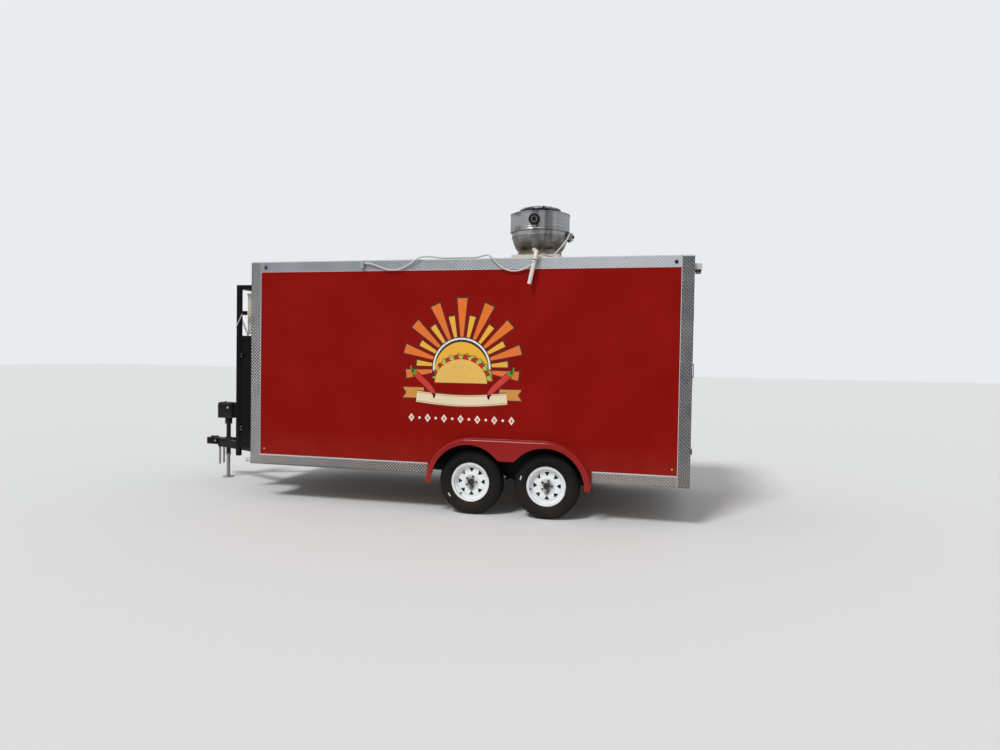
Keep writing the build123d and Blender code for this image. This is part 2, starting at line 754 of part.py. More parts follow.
def fan_wheel():
    """A back plate, nine leaning blades and an inlet ring, on a shaft up into the motor."""
    low, high = fan_wheel_low, fan_wheel_low + fan_wheel_height
    back = Pos(0, 0, high) * Cylinder(fan_wheel_radius, 4)
    ring = Pos(0, 0, low + 2) * extrude(Circle(fan_wheel_radius) - Circle(0.7 * fan_wheel_radius), 4)
    blade = Rot(0, 0, 38) * span(0, 90, -2, 2, low + 4, high)
    blades = [Rot(0, 0, i * 360 / fan_blades) * Pos(132, 0, 0) * blade for i in range(fan_blades)]
    shaft = Pos(0, 0, high + motor_gap - 16) * Cylinder(shaft_radius, 2 * motor_gap)
    boss = Pos(0, 0, high - 18) * Cylinder(30, 40)
    return at_fan(fuse([back, ring, shaft, boss, *blades]))


parts["fan_curb"] = curb()
parts["fan_bowl"] = bowl()
parts["fan_windband"] = windband()
parts["fan_lid"] = lid()
parts["fan_wheel"] = fan_wheel()


# Fan wiring: a box on the bowl, a gland in the top rail, and the conduit that hangs between them
conduit_radius = 9
box_x = fan_x + bowl_radius
box_z = top_z + 312
gland_x = front_x + 1371
gland_z = top_z - 32
conduit_route = [
    (box_x + 28, fan_y - 60, box_z + 16),
    (box_x + 20, fan_y - 118, box_z - 34),
    (box_x - 16, fan_y - 208, box_z - 116),
    (box_x - 58, fan_y - 306, box_z - 196),
    (box_x - 92, fan_y - 410, box_z - 262),
    (front_x + 3395, -side_y + 145, top_z + 34),
    (front_x + 3373, -side_y + 50, top_z + 42),
    (front_x + 3345, -side_y - 36, top_z + 26),
    (front_x + 3303, -side_y - 31, top_z - 34),
    (front_x + 3240, -side_y - 27, top_z - 84),
    (front_x + 3162, -side_y - 24, top_z - 122),
    (front_x + 3072, -side_y - 24, top_z - 138),
    (front_x + 2984, -side_y - 24, top_z - 122),
    (front_x + 2908, -side_y - 29, top_z - 74),
    (front_x + 2850, -side_y - 36, top_z - 14),
    (front_x + 2800, -side_y - 30, top_z + 36),
    (front_x + 2735, -side_y + 34, top_z + 40),
    (front_x + 2640, -side_y + 48, top_z + 18),
    (front_x + 2510, -side_y + 32, top_z + 19),
    (front_x + 2380, -side_y + 36, top_z + 18),
    (front_x + 2250, -side_y + 30, top_z + 19),
    (front_x + 2130, -side_y + 34, top_z + 38),
    (front_x + 2035, -side_y - 34, top_z + 26),
    (front_x + 1945, -side_y - 30, top_z - 34),
    (front_x + 1845, -side_y - 24, top_z - 90),
    (front_x + 1740, -side_y - 24, top_z - 115),
    (front_x + 1635, -side_y - 24, top_z - 98),
    (front_x + 1540, -side_y - 24, top_z - 60),
    (front_x + 1455, -side_y - 24, gland_z),
    (gland_x + 30.3, -side_y - 24, gland_z),
]


def corner_radii(points):
    """Each corner's radius: 0.45 of its shorter run over the tangent of half its turn."""
    radii = []
    for before, at, after in zip(points, points[1:], points[2:]):
        run_in, run_out = Vector(at) - Vector(before), Vector(after) - Vector(at)
        half_turn = radians(run_in.get_angle(run_out)) / 2
        radii.append(0.45 * min(run_in.length, run_out.length) / tan(half_turn))
    return radii


def conduit():
    """Straight runs joined by tangent arcs, with a round section carried along them."""
    radii = corner_radii(conduit_route)
    path = FilletPolyline(*conduit_route, radius=radii)
    start = Plane(origin=conduit_route[0], z_dir=Vector(conduit_route[1]) - Vector(conduit_route[0]))
    tube = sweep(start * Circle(conduit_radius), path=path)
    print("conduit length", round(path.length), "smallest radius", round(min(radii)))
    print("conduit volume ratio", round(tube.volume / (pi * conduit_radius ** 2 * path.length), 4))
    return tube


def conduit_fittings():
    """The junction box on the bowl, its gland, and the stub that enters the top rail."""
    box = span(box_x + 0.3, box_x + 52, fan_y - 38, fan_y + 38, box_z - 40, box_z + 40)
    start, after = Vector(conduit_route[0]), Vector(conduit_route[1])
    direction = (after - start).normalized()
    nut = Plane(origin=start - direction * 22, z_dir=direction) * extrude(Circle(15), 22)
    stub = Pos(gland_x + 8, -side_y - 24, gland_z) * Rot(0, 90, 0) * Cylinder(14, 44)
    elbow = span(gland_x - 16, gland_x + 18, -side_y - 40, -side_y - trim, top_z - 92, top_z - 12)
    return group([box + nut, elbow + stub])


def drain_pipe():
    """A plastic pipe from the fan's neck over the roof's edge and down the wall."""
    points = [(fan_x + 20, fan_y - neck_radius - seat_gap, curb_top + 28),
              (fan_x + 20, -side_y + 240, curb_top + 28),
              (fan_x + 106, -side_y - 64, top_z + 48),
              (fan_x + 36, -side_y - 64, top_z - 274)]
    path = FilletPolyline(*points, radius=[60, 70])
    start = Plane(origin=points[0], z_dir=Vector(points[1]) - Vector(points[0]))
    return sweep(start * (Circle(pipe_radius) - Circle(pipe_radius - pipe_wall)), path=path)


parts["fan_conduit"] = conduit()
parts["conduit_fittings"] = conduit_fittings()
parts["drain_pipe"] = drain_pipe()


# Front cage on the tongue: square tubes, with a closed locker below and an open bay above
cage_x0 = front_x - cage_depth
cage_x1 = front_x - cage_gap
cage_low_z = deck_z + seat_gap
side_door_y = -cage_half_width
side_door_z0 = cage_low_z + cage_tube + panel_gap
side_door_z1 = shelf_z - cage_tube - panel_gap
side_hinge_x = cage_x0 + cage_tube + panel_gap / 2
side_hinge_length = 60
side_hinge_zs = (side_door_z0 + 180, side_door_z1 - 180)


def cage():
    """Four posts, rails butted between them, straps to the front wall and the door's hinges."""
    tube, half = cage_tube, cage_half_width
    rail_zs = (cage_low_z, shelf_z - tube, cage_top_z - tube)
    pieces = []
    for x0 in (cage_x0, cage_x1 - tube):
        for side in (-1, 1):
            pieces.append(side_span(side, x0, x0 + tube, half - tube, half, bottom_z, cage_top_z))
        for z in rail_zs:
            pieces.append(span(x0, x0 + tube, tube - half, half - tube, z, z + tube))
    for side in (-1, 1):
        for z in rail_zs:
            pieces.append(side_span(side, cage_x0 + tube, cage_x1 - tube, half - tube, half,
                                    z, z + tube))
        for z in (shelf_z - 200, cage_top_z - 40):
            pieces.append(side_span(side, cage_x1, front_x - seat_gap, half - 45, half - 5,
                                    z, z + 30))
    for z in side_hinge_zs:
        at = Pos(side_hinge_x, side_door_y - hinge_out, z)
        hinge = knuckles(at, Rot(0, 0, 0), side_hinge_length, hinge_radius)
        reach = side_hinge_length / 2 + fixed_knuckle
        for low, high in ((-reach, -side_hinge_length / 2 - knuckle_gap),
                          (side_hinge_length / 2 + knuckle_gap, reach)):
            hinge.append(span(side_hinge_x - 30, side_hinge_x - 3.5, side_door_y - hinge_out,
                              side_door_y, z + low, z + high))
        pieces.append(fuse(hinge))
    return group(pieces)


def cage_locker():
    """Sheet panels inside the lower bay: floor, shelf, front, far side and back, with a side door."""
    tube, sheet, half = cage_tube, panel_sheet, cage_half_width
    low, high = cage_low_z + tube, shelf_z - tube
    plate = span(cage_x0 + 2, cage_x1 - 2, -half + 2, half - 2, 0, sheet)
    for post_x in (cage_x0, cage_x1 - tube):
        for side in (-1, 1):
            plate -= side_span(side, post_x - 0.3, post_x + tube + 0.3, half - tube - 0.3, half,
                               -1, sheet + 1)
    pieces = [
        Pos(0, 0, low) * plate,
        Pos(0, 0, shelf_z) * plate,
        span(cage_x0 + 20, cage_x0 + 20 + sheet, -half + tube, half - tube, low, high),
        span(cage_x1 - 20 - sheet, cage_x1 - 20, -half + tube, half - tube, low, high),
        span(cage_x0 + tube, cage_x1 - tube, half - 20 - sheet, half - 20, low, high),
    ]
    return group([pieces[1], fuse([pieces[0], *pieces[2:]])])


def cage_door():
    """A folded sheet door in the cage's street side, hinged on the front post, with two hasps."""
    gap = panel_gap
    x0, x1 = cage_x0 + cage_tube + gap, cage_x1 - cage_tube - gap
    z0, z1 = side_door_z0, side_door_z1
    y = side_door_y
    leaf = span(x0, x1, y, y + side_door_thickness, z0, z1)
    leaf -= span(x0 + 3, x1 - 3, y + 3, y + side_door_thickness + 1, z0 + 3, z1 - 3)
    pieces = [leaf]
    half = side_hinge_length / 2
    for z in side_hinge_zs:
        pieces.append(Pos(side_hinge_x, y - hinge_out, z) * Cylinder(hinge_radius, side_hinge_length))
        pieces.append(span(side_hinge_x, x0 + 40, y - hinge_out - 2, y - hinge_out + 2,
                           z - half, z + half)
                      + span(x0 + 4, x0 + 40, y - hinge_out, y, z - half, z + half))
    for z in (z1 - 160, z1 - 420):
        pieces.append(span(x1 - 60, x1 - 12, y - 10, y, z, z + 40))
        pieces.append(Pos(x1 - 36, y - 24, z - 22) * Box(34, 22, 44))
        pieces.append(span(x1 - 42, x1 - 30, y - 26, y - 8, z - 4, z + 8))
    return fuse(pieces)


condenser_back = 125
condenser_depth = 300
condenser_width = 790
condenser_from_side = 560
condenser_height = 502
condenser_foot = 20
grille_radius = 205
grille_bar = 6
coil_depth = 25


def condenser():
    """The air conditioner's outdoor unit: a sheet case with a round grille, and its coil behind."""
    x0, x1 = front_x - condenser_back - condenser_depth, front_x - condenser_back
    y0 = -side_y + condenser_from_side
    y1 = y0 + condenser_width
    z0 = shelf_z + panel_sheet + seat_gap
    low, high = z0 + condenser_foot, z0 + condenser_foot + condenser_height
    sheet = panel_sheet
    grille = Pos(x0, y0 + 300, (low + high) / 2)
    case = span(x0, x1, y0, y1, low, high)
    case = fillet(case.edges().filter_by(Axis.Z), 18)
    case -= span(x0 + sheet, x1 + 1, y0 + 18, y1 - 18, low + sheet, high - sheet)
    case -= grille * Rot(0, 90, 0) * Cylinder(grille_radius, 4 * sheet)
    bars = [grille * Pos(1, 0, 0) * Rot(0, 90, 0)
            * extrude(Circle(r + grille_bar / 2) - Circle(r - grille_bar / 2), 5)
            for r in (60, 110, 160)]
    spokes = [grille * Pos(sheet + 2, 0, 0) * Rot(i * 60, 0, 0)
              * Box(4, 2 * grille_radius + 12, grille_bar) for i in range(3)]
    feet = [span(x0 + 10, x1 - 10, y - 30, y + 30, z0, low) for y in (y0 + 130, y1 - 130)]
    coil = span(x1 - coil_depth, x1, y0 + 18, y1 - 18, low + sheet, high - sheet)
    return group([fuse([case, *bars, *spokes, *feet]), coil])


parts["front_cage"] = cage()
parts["cage_locker"] = cage_locker()
parts["cage_door"] = cage_door()
parts["condenser_unit"] = condenser()


# Rear door and the things on the rear wall
def rear_door():
    """A flush door with a bar handle, hinged on its street-side edge."""
    leaf = span(rear_x - wall, rear_x, door_y0, door_y1, door_z0, door_z1)
    pieces = [leaf]
    half = rear_hinge_length / 2
    for rise in rear_hinge_rises:
        z = door_z0 + rise
        pieces.append(Pos(rear_x + hinge_out, door_hinge_y, z)
                      * Cylinder(hinge_radius, rear_hinge_length))
        pieces.append(span(rear_x, rear_x + hinge_out + 2, door_y0 + 6, door_y0 + 55,
                           z - half, z + half)
                      + span(rear_x + hinge_out - 2, rear_x + hinge_out + 2, door_hinge_y,
                             door_y0 + 10, z - half, z + half))
    z = door_z0 + 900
    pieces.append(span(rear_x, rear_x + 8, door_y1 - 100, door_y1 - 50, z, z + 180))
    pieces.append(span(rear_x + 34, rear_x + 44, door_y1 - 84, door_y1 - 66, z + 10, z + 170))
    for step_z in (z + 10, z + 156):
        pieces.append(span(rear_x + 8, rear_x + 36, door_y1 - 84, door_y1 - 66, step_z, step_z + 14))
    return fuse(pieces)


def porch_lamp():
    """A square lamp on a bracket at the top of the rear wall, seen past the corner."""
    y0 = -side_y + 230
    z1 = top_z - 50
    body = span(rear_x + trim + 0.3, rear_x + rear_lamp_out, y0, y0 + 200, z1 - 62, z1)
    lens = span(rear_x + 16, rear_x + rear_lamp_out - 10, y0 + 14, y0 + 186, z1 - 88, z1 - 62)
    return fillet(body.edges().filter_by(Axis.Y), 8) + lens


def tail_lamps():
    """An oval lamp each side of the rear wall and a bar of three above the door."""
    pieces = []
    low_z, high_z = deck_z + 243, top_z - 60
    for y, z, length, height, base in (
            (-side_y + 210, low_z, 165, 58, 0), (side_y - 210, low_z, 165, 58, 0),
            (-150, high_z, 70, 26, trim), (0, high_z, 70, 26, trim), (150, high_z, 70, 26, trim)):
        placed = Plane(origin=(rear_x + base + 0.3, y, z), x_dir=(0, 1, 0), z_dir=(1, 0, 0))
        pieces.append(extrude(placed * SlotOverall(length, height), 20))
    return group(pieces)


def marker_lamps():
    """Round lamps near the corners of each side wall, on the top rail and low on the panel."""
    pieces = []
    for side in (-1, 1):
        for x in (front_x + 177, rear_x - 171):
            for z, radius, base in ((top_z - 62, 13, trim), (bottom_z + 180, 9, 0)):
                lamp = Pos(x, side * (side_y + base + 0.3), z) * Rot(-90 * side, 0, 0) \
                    * extrude(Circle(radius), 11)
                pieces.append(lamp)
    return group(pieces)


parts["rear_door"] = rear_door()
parts["porch_lamp"] = porch_lamp()
parts["tail_lamps"] = tail_lamps()
parts["marker_lamps"] = marker_lamps()


# Serving side: a hatch hinged above its opening, a frame inside it, and a shelf that folds down
hatch_hinge_z = opening_top_z + panel_gap / 2
hatch_hinge_xs = (opening_x0 + 200, (opening_x0 + opening_x1) / 2 - 50, opening_x1 - 300)
shelf_hinge_z = opening_sill_z - 60


def hatch():
    leaf = span(opening_x0, opening_x1, edge_y, side_y, opening_sill_z, opening_top_z)
    pieces = [leaf]
    for x in hatch_hinge_xs:
        pieces.append(Pos(x + 50, side_y + hatch_hinge_out, hatch_hinge_z) * Rot(0, 90, 0)
                      * Cylinder(hinge_radius, 100))
        pieces.append(span(x, x + 100, side_y, side_y + hatch_hinge_out + 2, opening_top_z - 55,
                           opening_top_z - 6)
                      + span(x, x + 100, side_y + hatch_hinge_out - 2, side_y + hatch_hinge_out + 2,
                             opening_top_z - 10, hatch_hinge_z))
    for x in (opening_x0 + 260, opening_x1 - 260):
        pieces.append(span(x - 30, x + 30, side_y, side_y + 12, opening_sill_z + 40,
                           opening_sill_z + 110))
    return fuse(pieces)


def serving_frame():
    """A flat frame on the outside of the wall round the opening, with fixed hinge knuckles."""
    width, out = frame_width, frame_thickness
    gap = panel_gap
    x0, x1, z0, z1 = opening_x0 - gap, opening_x1 + gap, opening_sill_z - gap, opening_top_z + gap
    ring = span(x0 - width, x1 + width, side_y, side_y + out, z0 - width, z1 + width)
    ring -= span(x0, x1, side_y - 1, side_y + out + 1, z0, z1)
    pieces = [ring]
    for x in hatch_hinge_xs:
        at = Pos(x + 50, side_y + hatch_hinge_out, hatch_hinge_z)
        pieces += knuckles(at, Rot(0, 90, 0), 100, hinge_radius)
        for end_x in (x - knuckle_gap - fixed_knuckle, x + 100 + knuckle_gap):
            pieces.append(span(end_x, end_x + fixed_knuckle, side_y + out, side_y + hatch_hinge_out,
                               hatch_hinge_z, z1 + 30))
    return fuse(pieces)


def serving_shelf():
    """A flat shelf below the opening, hanging down against the wall."""
    x0, x1 = opening_x0 + 60, opening_x1 - 60
    y0 = side_y + frame_thickness + 6
    board = span(x0, x1, y0, y0 + shelf_thickness, shelf_hinge_z - shelf_depth, shelf_hinge_z - 14)
    board = fillet(board.edges().filter_by(Axis.Y).group_by(Axis.Z)[0], 30)
    pieces = [board]
    for x in (x0 + 150, (x0 + x1) / 2 - 50, x1 - 250):
        pieces.append(Pos(x + 50, y0 + shelf_thickness / 2, shelf_hinge_z) * Rot(0, 90, 0)
                      * Cylinder(9, 100))
        pieces.append(span(x, x + 100, y0 + shelf_thickness / 2 - 4, y0 + shelf_thickness / 2 + 4,
                           shelf_hinge_z - 20, shelf_hinge_z))
    return fuse(pieces)


def shelf_brackets():
    """Ears on the wall either side of each shelf hinge."""
    x0, x1 = opening_x0 + 60, opening_x1 - 60
    y = side_y + frame_thickness + 6 + shelf_thickness / 2
    pieces = []
    for x in (x0 + 150, (x0 + x1) / 2 - 50, x1 - 250):
        for ear_x in (x - knuckle_gap - 6, x + 100 + knuckle_gap):
            pieces.append(span(ear_x, ear_x + 6, side_y, y + 8, shelf_hinge_z - 8,
                               shelf_hinge_z + 8))
    return group(pieces)


parts["serving_hatch"] = hatch()
parts["serving_frame"] = serving_frame()
parts["serving_shelf"] = serving_shelf()
parts["shelf_brackets"] = shelf_brackets()


# Inside: the hood under the fan, the cooking line below it and the counter on the serving side
hood_half = 900
hood_over_floor = 1450
hood_low_z = floor_z + hood_over_floor
hood_lip = 150
hood_height = 420
hood_sheet = 3
duct_gap = 20
hood_depth = 900
hood_slope = 50
bench_height = 880
bench_depth = 720
bench_gap = 6
bench_top = 40
bench_leg = 40
leg_inset = 20
low_shelf_rise = 300
bench_sheet = 3
griddle_length = 750
griddle_height = 180
griddle_wall = 17
griddle_plate = 15
griddle_recess = 35
griddle_inset = 50
counter_depth = 480
counter_over = 200
counter_drop = 30
counter_top = 30
sink_from_end = 200
sink_length = 420
sink_depth = 217
sink_inset = 80


def exhaust_hood():
    """A stainless canopy on the street-side wall, with its duct up through the roof."""
    y0, y1 = -edge_y + seat_gap, -edge_y + hood_depth
    lip_z, high_z, sheet = hood_low_z + hood_lip, hood_low_z + hood_height, hood_sheet
    lean = make_face(Polyline((y0, hood_low_z), (y1, hood_low_z), (y1, lip_z),
                              (y1 - hood_slope, high_z), (y0, high_z), close=True))
    hollow = make_face(Polyline((y0 + sheet, hood_low_z - 1), (y1 - sheet, hood_low_z - 1),
                                (y1 - sheet, lip_z - 1), (y1 - hood_slope - 2, high_z - sheet),
                                (y0 + sheet, high_z - sheet), close=True))
    plane = Plane(origin=(fan_x, 0, 0), x_dir=(0, 1, 0), z_dir=(1, 0, 0))
    shell = extrude(plane * lean, hood_half, both=True)
    shell -= extrude(plane * hollow, hood_half - sheet, both=True)
    side = curb_side - 2 * curb_wall - 2 * duct_gap
    duct_z0, duct_z1 = high_z - sheet, top_z + 2 * duct_gap
    duct = Pos(fan_x, fan_y, (duct_z0 + duct_z1) / 2) * Box(side, side, duct_z1 - duct_z0)
    hole = Pos(fan_x, fan_y, (duct_z0 + duct_z1) / 2) \
        * Box(side - 2 * sheet, side - 2 * sheet, duct_z1 - duct_z0 + 20)
    return shell + duct - hole


def bench_legs(x0, x1, y0, y1, top_z1):
    """Legs at the ends and the middle of a bench, and a shelf that lies between the two rows."""
    inset = leg_inset + bench_leg
    pieces = [span(x0 + leg_inset, x1 - leg_inset, y0 + inset, y1 - inset,
                   floor_z + low_shelf_rise, floor_z + low_shelf_rise + bench_sheet)]
    for x in (x0 + leg_inset, (x0 + x1 - bench_leg) / 2, x1 - inset):
        for y in (y0 + leg_inset, y1 - inset):
            pieces.append(span(x, x + bench_leg, y, y + bench_leg, floor_z + seat_gap, top_z1))
    return pieces


def cook_line():
    """A bench under the hood with a griddle on it: a thick plate between four walls."""
    x0, x1 = fan_x - hood_half + 60, fan_x + hood_half - 60
    y0, y1 = -wheel_box_inner_y + bench_gap, -wheel_box_inner_y + bench_depth
    top = floor_z + bench_height
    pieces = bench_legs(x0, x1, y0, y1, top - bench_top)
    pieces.append(span(x0, x1, y0, y1, top - bench_top, top))
    wall_y0, wall_y1 = y0 + griddle_inset, y1 - griddle_inset
    a, b = fan_x - griddle_length * 2 / 3, fan_x + griddle_length / 3
    side = griddle_wall
    for x in (a, b - side):
        pieces.append(span(x, x + side, wall_y0, wall_y1, top, top + griddle_height))
    for y in (wall_y0, wall_y1 - side):
        pieces.append(span(a + side, b - side, y, y + side, top, top + griddle_height))
    plate_z = top + griddle_height - griddle_recess
    pieces.append(span(a + side, b - side, wall_y0 + side, wall_y1 - side,
                       plate_z - griddle_plate, plate_z))
    return group(pieces)


def serving_counter():
    """A bench inside the serving wall, its top in four panels round a sunk basin."""
    y1 = wheel_box_inner_y - bench_gap
    y0, wall_y = y1 - counter_depth, edge_y - seat_gap
    x0, x1 = opening_x0 - counter_over, opening_x1 + counter_over
    top = opening_sill_z - counter_drop
    low = top - counter_top
    sink_x0, sink_y0, sink_y1 = x0 + sink_from_end, y0 + sink_inset, y1 - sink_inset
    sink_x1 = sink_x0 + sink_length
    basin, sheet = top - sink_depth, bench_sheet
    pieces = bench_legs(x0, x1, y0, y1, low)
    pieces += [span(sink_x1, x1, y0, wall_y, low, top), span(x0, sink_x0, y0, wall_y, low, top),
               span(sink_x0, sink_x1, y0, sink_y0, low, top),
               span(sink_x0, sink_x1, sink_y1, wall_y, low, top)]
    pieces.append(span(sink_x0 - sheet, sink_x1 + sheet, sink_y0 - sheet, sink_y1 + sheet,
                       basin - sheet, basin))
    for x in (sink_x0 - sheet, sink_x1):
        pieces.append(span(x, x + sheet, sink_y0 - sheet, sink_y1 + sheet, basin, low))
    for y in (sink_y0 - sheet, sink_y1):
        pieces.append(span(sink_x0, sink_x1, y, y + sheet, basin, low))
    return group(pieces)


parts["exhaust_hood"] = exhaust_hood()
parts["cook_line"] = cook_line()
parts["serving_counter"] = serving_counter()

os.makedirs("parts", exist_ok=True)
for node, shape in parts.items():
    export_step(shape, f"parts/{node}.step")
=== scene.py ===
"""Food trailer: finishes, small parts, light and camera round the trailer's fixed frame.

Metres. X runs along the trailer with the coupler towards -X, the street side is towards -Y and
+Z is up. Sizes that follow the trailer's own pieces are read from the frame.
"""
import json
from math import pi, radians

import bmesh
import bpy
import numpy as np
from mathutils import Matrix, Vector

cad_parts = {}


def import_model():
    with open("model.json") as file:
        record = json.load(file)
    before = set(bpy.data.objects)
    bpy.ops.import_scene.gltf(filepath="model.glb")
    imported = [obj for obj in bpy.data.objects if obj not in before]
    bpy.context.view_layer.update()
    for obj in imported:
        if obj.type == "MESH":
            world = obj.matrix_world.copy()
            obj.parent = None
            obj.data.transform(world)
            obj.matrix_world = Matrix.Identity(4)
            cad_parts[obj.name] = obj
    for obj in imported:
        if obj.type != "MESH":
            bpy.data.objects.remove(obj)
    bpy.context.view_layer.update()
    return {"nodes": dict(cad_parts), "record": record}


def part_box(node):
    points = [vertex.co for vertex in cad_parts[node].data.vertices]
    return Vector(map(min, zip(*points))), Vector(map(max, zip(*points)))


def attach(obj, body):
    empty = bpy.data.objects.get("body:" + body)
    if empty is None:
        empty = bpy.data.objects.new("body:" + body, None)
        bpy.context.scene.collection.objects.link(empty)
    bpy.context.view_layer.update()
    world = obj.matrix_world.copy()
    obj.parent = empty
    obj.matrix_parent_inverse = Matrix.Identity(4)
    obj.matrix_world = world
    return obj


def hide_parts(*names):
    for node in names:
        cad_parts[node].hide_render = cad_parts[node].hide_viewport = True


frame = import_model()

# Sizes of the trim on the body's edges
post_width, rail_height, foot_height = 0.118, 0.112, 0.113
trim, wall_thickness = 0.003, 0.042
wheel_names = [f"{place}_{side}" for place in ("front", "rear") for side in ("street", "serving")]

# Places read from the frame
body_low, body_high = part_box("corner_posts")
rail_low, foot_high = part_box("top_rails")[0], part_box("bottom_rails")[1]
fender_low, fender_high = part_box("fender_street_side")
front_x, rear_x = body_low.x + trim, body_high.x - trim
side_y = body_high.y - trim
top_z, bottom_z = body_high.z - trim, body_low.z
wall_x0, wall_x1, wall_y = front_x + post_width, rear_x - post_width, side_y - post_width
foot_spans = ((wall_x0, fender_low.x - 0.004), (fender_high.x + 0.004, wall_x1))
fan_low, fan_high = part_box("fan_windband")
curb_low, curb_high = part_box("fan_curb")
fan_x, fan_y = (curb_low.x + curb_high.x) / 2, (curb_low.y + curb_high.y) / 2


# Mesh helpers
def grid_faces(count_u, count_v, close_u=False, close_v=False):
    """Quads that join each point of a grid with the next one along both parameters."""
    u = np.arange(count_u if close_u else count_u - 1)
    v = np.arange(count_v if close_v else count_v - 1)
    u, v = np.meshgrid(u, v, indexing="ij")
    next_u, next_v = (u + 1) % count_u, (v + 1) % count_v
    corners = (u * count_v + v, next_u * count_v + v, next_u * count_v + next_v, u * count_v + next_v)
    return np.stack(corners, -1).reshape(-1, 4)


def piece(name, points, faces, body, slot, material, smooth=True, weld=0.0):
    """An object from points and faces that rides a body. Weld merges points that lie together."""
    mesh = bpy.data.meshes.new(name)
    mesh.from_pydata(np.asarray(points, float).reshape(-1, 3), [], np.asarray(faces))
    if weld:
        work = bmesh.new()
        work.from_mesh(mesh)
        bmesh.ops.remove_doubles(work, verts=work.verts, dist=weld)
        bmesh.ops.recalc_face_normals(work, faces=work.faces)
        work.to_mesh(mesh)
        work.free()
    mesh.polygons.foreach_set("use_smooth", np.full(len(mesh.polygons), smooth))
    mesh.materials.append(material)
    mesh.update()
    made = bpy.data.objects.new(name, mesh)
    bpy.context.scene.collection.objects.link(made)
    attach(made, body)
    return made


def repeat(points, faces, places, turns):
    """Copies of a small shape: a copy's points are the shape's, turned by its matrix, plus its place."""
    copies = np.einsum("kij,nj->kni", turns, points) + np.asarray(places)[:, None]
    shift = len(points) * np.arange(len(places))[:, None, None]
    return copies.reshape(-1, 3), (faces[None] + shift).reshape(-1, faces.shape[1])


def spun(profile, centre, axis, steps):
    """A closed profile of (radius, height) carried round an axis.

    The point at angle a is centre + radius (side cos a + other sin a) + height axis.
    """
    axis = np.array(axis, float)
    side = np.cross(axis, (0.0, 0.0, 1.0) if abs(axis[2]) < 0.5 else (0.0, 1.0, 0.0))
    side /= np.linalg.norm(side)
    other = np.cross(axis, side)
    angle = np.arange(steps) * 2 * pi / steps
    ring = np.cos(angle)[:, None] * side + np.sin(angle)[:, None] * other
    radius, height = np.array(profile, float).T
    points = np.array(centre) + ring[:, None] * radius[None, :, None] + height[None, :, None] * axis
    return points.reshape(-1, 3), grid_faces(steps, len(radius), close_u=True, close_v=True)


def bar(low, high):
    """The eight corners and six faces of a straight bar between two corners."""
    low, high = np.array(low, float), np.array(high, float)
    pick = np.array([(0, 0, 0), (1, 0, 0), (1, 1, 0), (0, 1, 0), (0, 0, 1), (1, 0, 1), (1, 1, 1), (0, 1, 1)])
    faces = np.array([(0, 3, 2, 1), (4, 5, 6, 7), (0, 1, 5, 4), (1, 2, 6, 5), (2, 3, 7, 6), (3, 0, 4, 7)])
    return low + pick * (high - low), faces


def join(shapes):
    """One list of points and one of faces from several shapes whose faces have the same corner count."""
    points, faces, start = [], [], 0
    for shape_points, shape_faces in shapes:
        points.append(shape_points)
        faces.append(shape_faces + start)
        start += len(shape_points)
    return np.concatenate(points), np.concatenate(faces)


def closed_tube(rings):
    """Faces along a tube through rings of points, with each end drawn in to its ring's middle."""
    ends = [np.broadcast_to(rings[i].mean(0), rings[i].shape)[None] for i in (0, -1)]
    rings = np.concatenate([ends[0], rings, ends[1]])
    return rings.reshape(-1, 3), grid_faces(len(rings), rings.shape[1], close_v=True)


def round_section(radius, count=8):
    """A circle: radius (cos a, sin a) for even steps of a."""
    angle = np.arange(count) * 2 * pi / count
    return radius * np.stack([np.cos(angle), np.sin(angle)], -1)


def flat_section(width, height, cut):
    """A rectangle about the origin whose corners are cut off by a small amount."""
    w, h = width / 2, height / 2
    return np.array([(w, cut - h), (w, h - cut), (w - cut, h), (cut - w, h), (-w, h - cut), (-w, cut - h),
                     (cut - w, -h), (w - cut, -h)])


def stick(start, end, first, section):
    """A section carried straight from start to end.

    The section's point (a, b) lies at a first + b second, where second is square to the line and first.
    """
    start, end, first = (np.array(value, float) for value in (start, end, first))
    second = np.cross(end - start, first)
    second /= np.linalg.norm(second)
    around = section[:, :1] * first + section[:, 1:] * second
    return closed_tube(np.stack([start + around, end + around]))


def bent(path, normal, section, closed=False):
    """A section carried along a path that lies square to a normal.

    The section's point (a, b) lies at a normal + b (tangent x normal) from the path's point.
    """
    path, normal = np.array(path, float), np.array(normal, float)
    if closed:
        tangent = np.roll(path, -1, 0) - np.roll(path, 1, 0)
    else:
        tangent = np.gradient(path, axis=0)
    second = np.cross(tangent, normal)
    second /= np.linalg.norm(second, axis=1)[:, None]
    rings = path[:, None] + section[None, :, :1] * normal + section[None, :, 1:] * second[:, None]
    if closed:
        return rings.reshape(-1, 3), grid_faces(len(rings), len(section), close_u=True, close_v=True)
    return closed_tube(rings)


def plate(low, high, cut=0.001):
    """A flat bar between two corners, its long edges cut off, drawn along its longest side."""
    low, high = np.array(low, float), np.array(high, float)
    size = high - low
    along, across = int(np.argmax(size)), int(np.argmin(size))
    other = 3 - along - across
    middle = (low + high) / 2
    start, end = middle.copy(), middle.copy()
    start[along], end[along] = low[along], high[along]
    return stick(start, end, np.eye(3)[across], flat_section(size[across], size[other], cut))


